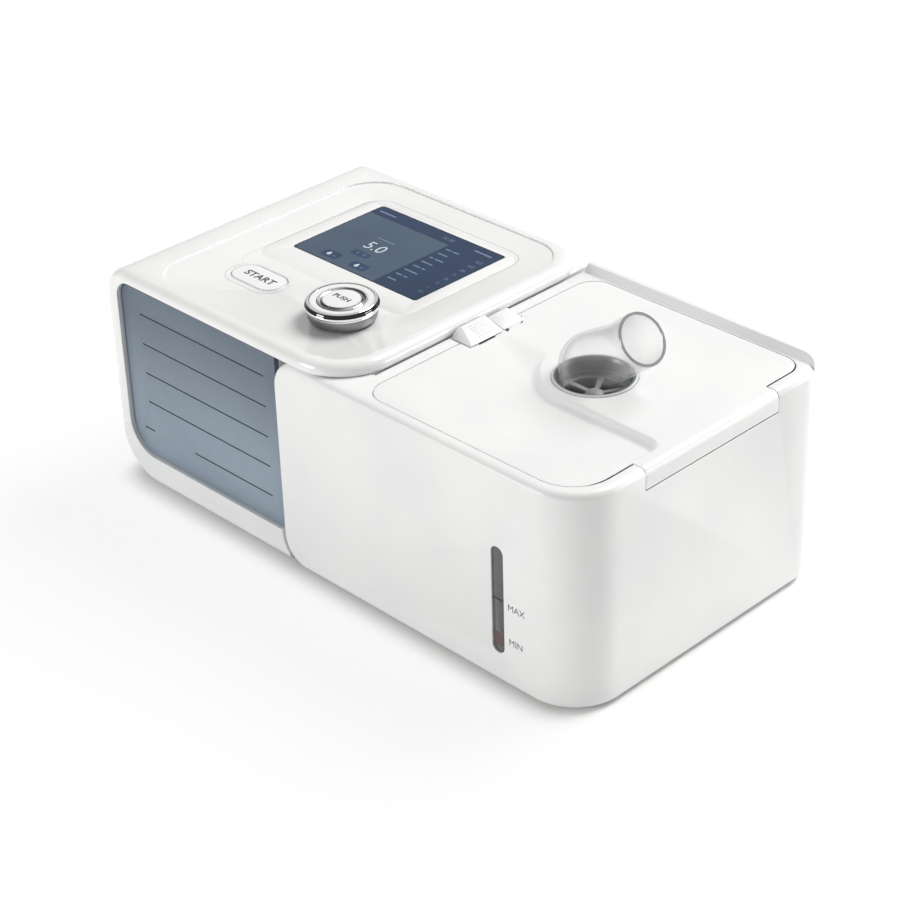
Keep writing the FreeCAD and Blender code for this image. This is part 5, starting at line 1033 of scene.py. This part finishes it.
def make_floor():
    """A white page that keeps its own shading where the machine stands over it."""
    material, tree, shader, _ = new_material("studio_floor", Roughness=0.9)
    cloud = add(tree, "ShaderNodeTexNoise", inputs={"Scale": 1.5})
    tint = add(tree, "ShaderNodeValToRGB", inputs={"Fac": cloud},
               stops=[(0.0, "f6f6f6"), (1.0, "fafafa")])
    join(tree, shader, {"Base Color": tint})
    corner = add(tree, "ShaderNodeAmbientOcclusion", {"samples": 12}, {"Distance": 14 * MM})
    open_air = add(tree, "ShaderNodeMapRange", {"interpolation_type": "SMOOTHSTEP"}, {
        "Value": corner.outputs["AO"], "From Min": 0.45, "From Max": 0.95})
    share = add(tree, "ShaderNodeMath", {"operation": "MULTIPLY"}, {0: open_air, 1: 0.86})
    join(tree, tree.nodes["Material Output"], {"Surface": white_to_eye(tree, shader, share)})
    bm = bmesh.new()
    bmesh.ops.create_grid(bm, x_segments=1, y_segments=1, size=6)
    finished("studio_floor", bm, material)


def make_world():
    """Pale light from all round, and a white page behind the machine."""
    world = bpy.data.worlds.new("studio")
    bpy.context.scene.world = world
    world.use_nodes = True
    tree = world.node_tree
    light = tree.nodes["Background"]
    join(tree, light, {"Color": srgb("fcfbf9"), "Strength": 0.27})
    join(tree, tree.nodes["World Output"], {"Surface": white_to_eye(tree, light, 1.0)})


def soft_light(name, place, target, size, power):
    """A rectangular lamp; place and size are in metres, and power is in watts."""
    lamp = bpy.data.lights.new(name, "AREA")
    lamp.shape = "RECTANGLE"
    lamp.size, lamp.size_y = size
    lamp.energy = power
    lamp.color = srgb("fffdfa")[:3]
    holder = bpy.data.objects.new(name, lamp)
    holder.location = place
    holder.rotation_euler = (Vector(target) - Vector(place)).to_track_quat("-Z", "Y").to_euler()
    bpy.context.scene.collection.objects.link(holder)


def make_camera():
    camera = bpy.data.cameras.new("camera")
    camera.lens = 95.26
    camera.sensor_width = 36
    holder = bpy.data.objects.new("camera", camera)
    place, target = Vector((0.6133, -0.5925, 0.5498)), Vector((0.0087, -0.0110, 0.0422))
    aim = (target - place).to_track_quat("-Z", "Y").to_matrix().to_4x4()
    roll = Matrix.Rotation(math.radians(-1.85), 4, "Z")
    holder.matrix_world = Matrix.Translation(place) @ aim @ roll
    bpy.context.scene.collection.objects.link(holder)
    bpy.context.scene.camera = holder


make_floor()
make_world()
# a broad lamp above and behind, a softer one from the front left, and a weak one on the right end
soft_light("key", (0.3, 1.1, 1.45), (0, 0, 0), (1.0, 1.0), 37)
soft_light("left_front", (-0.75, -1.85, 0.5), (0, 0, 0.04), (0.8, 0.7), 23.5)
soft_light("right_back", (1.5, 1.3, 0.35), (0, 0, 0.04), (0.9, 0.6), 10)
make_camera()
bpy.context.scene.view_settings.view_transform = "Standard"
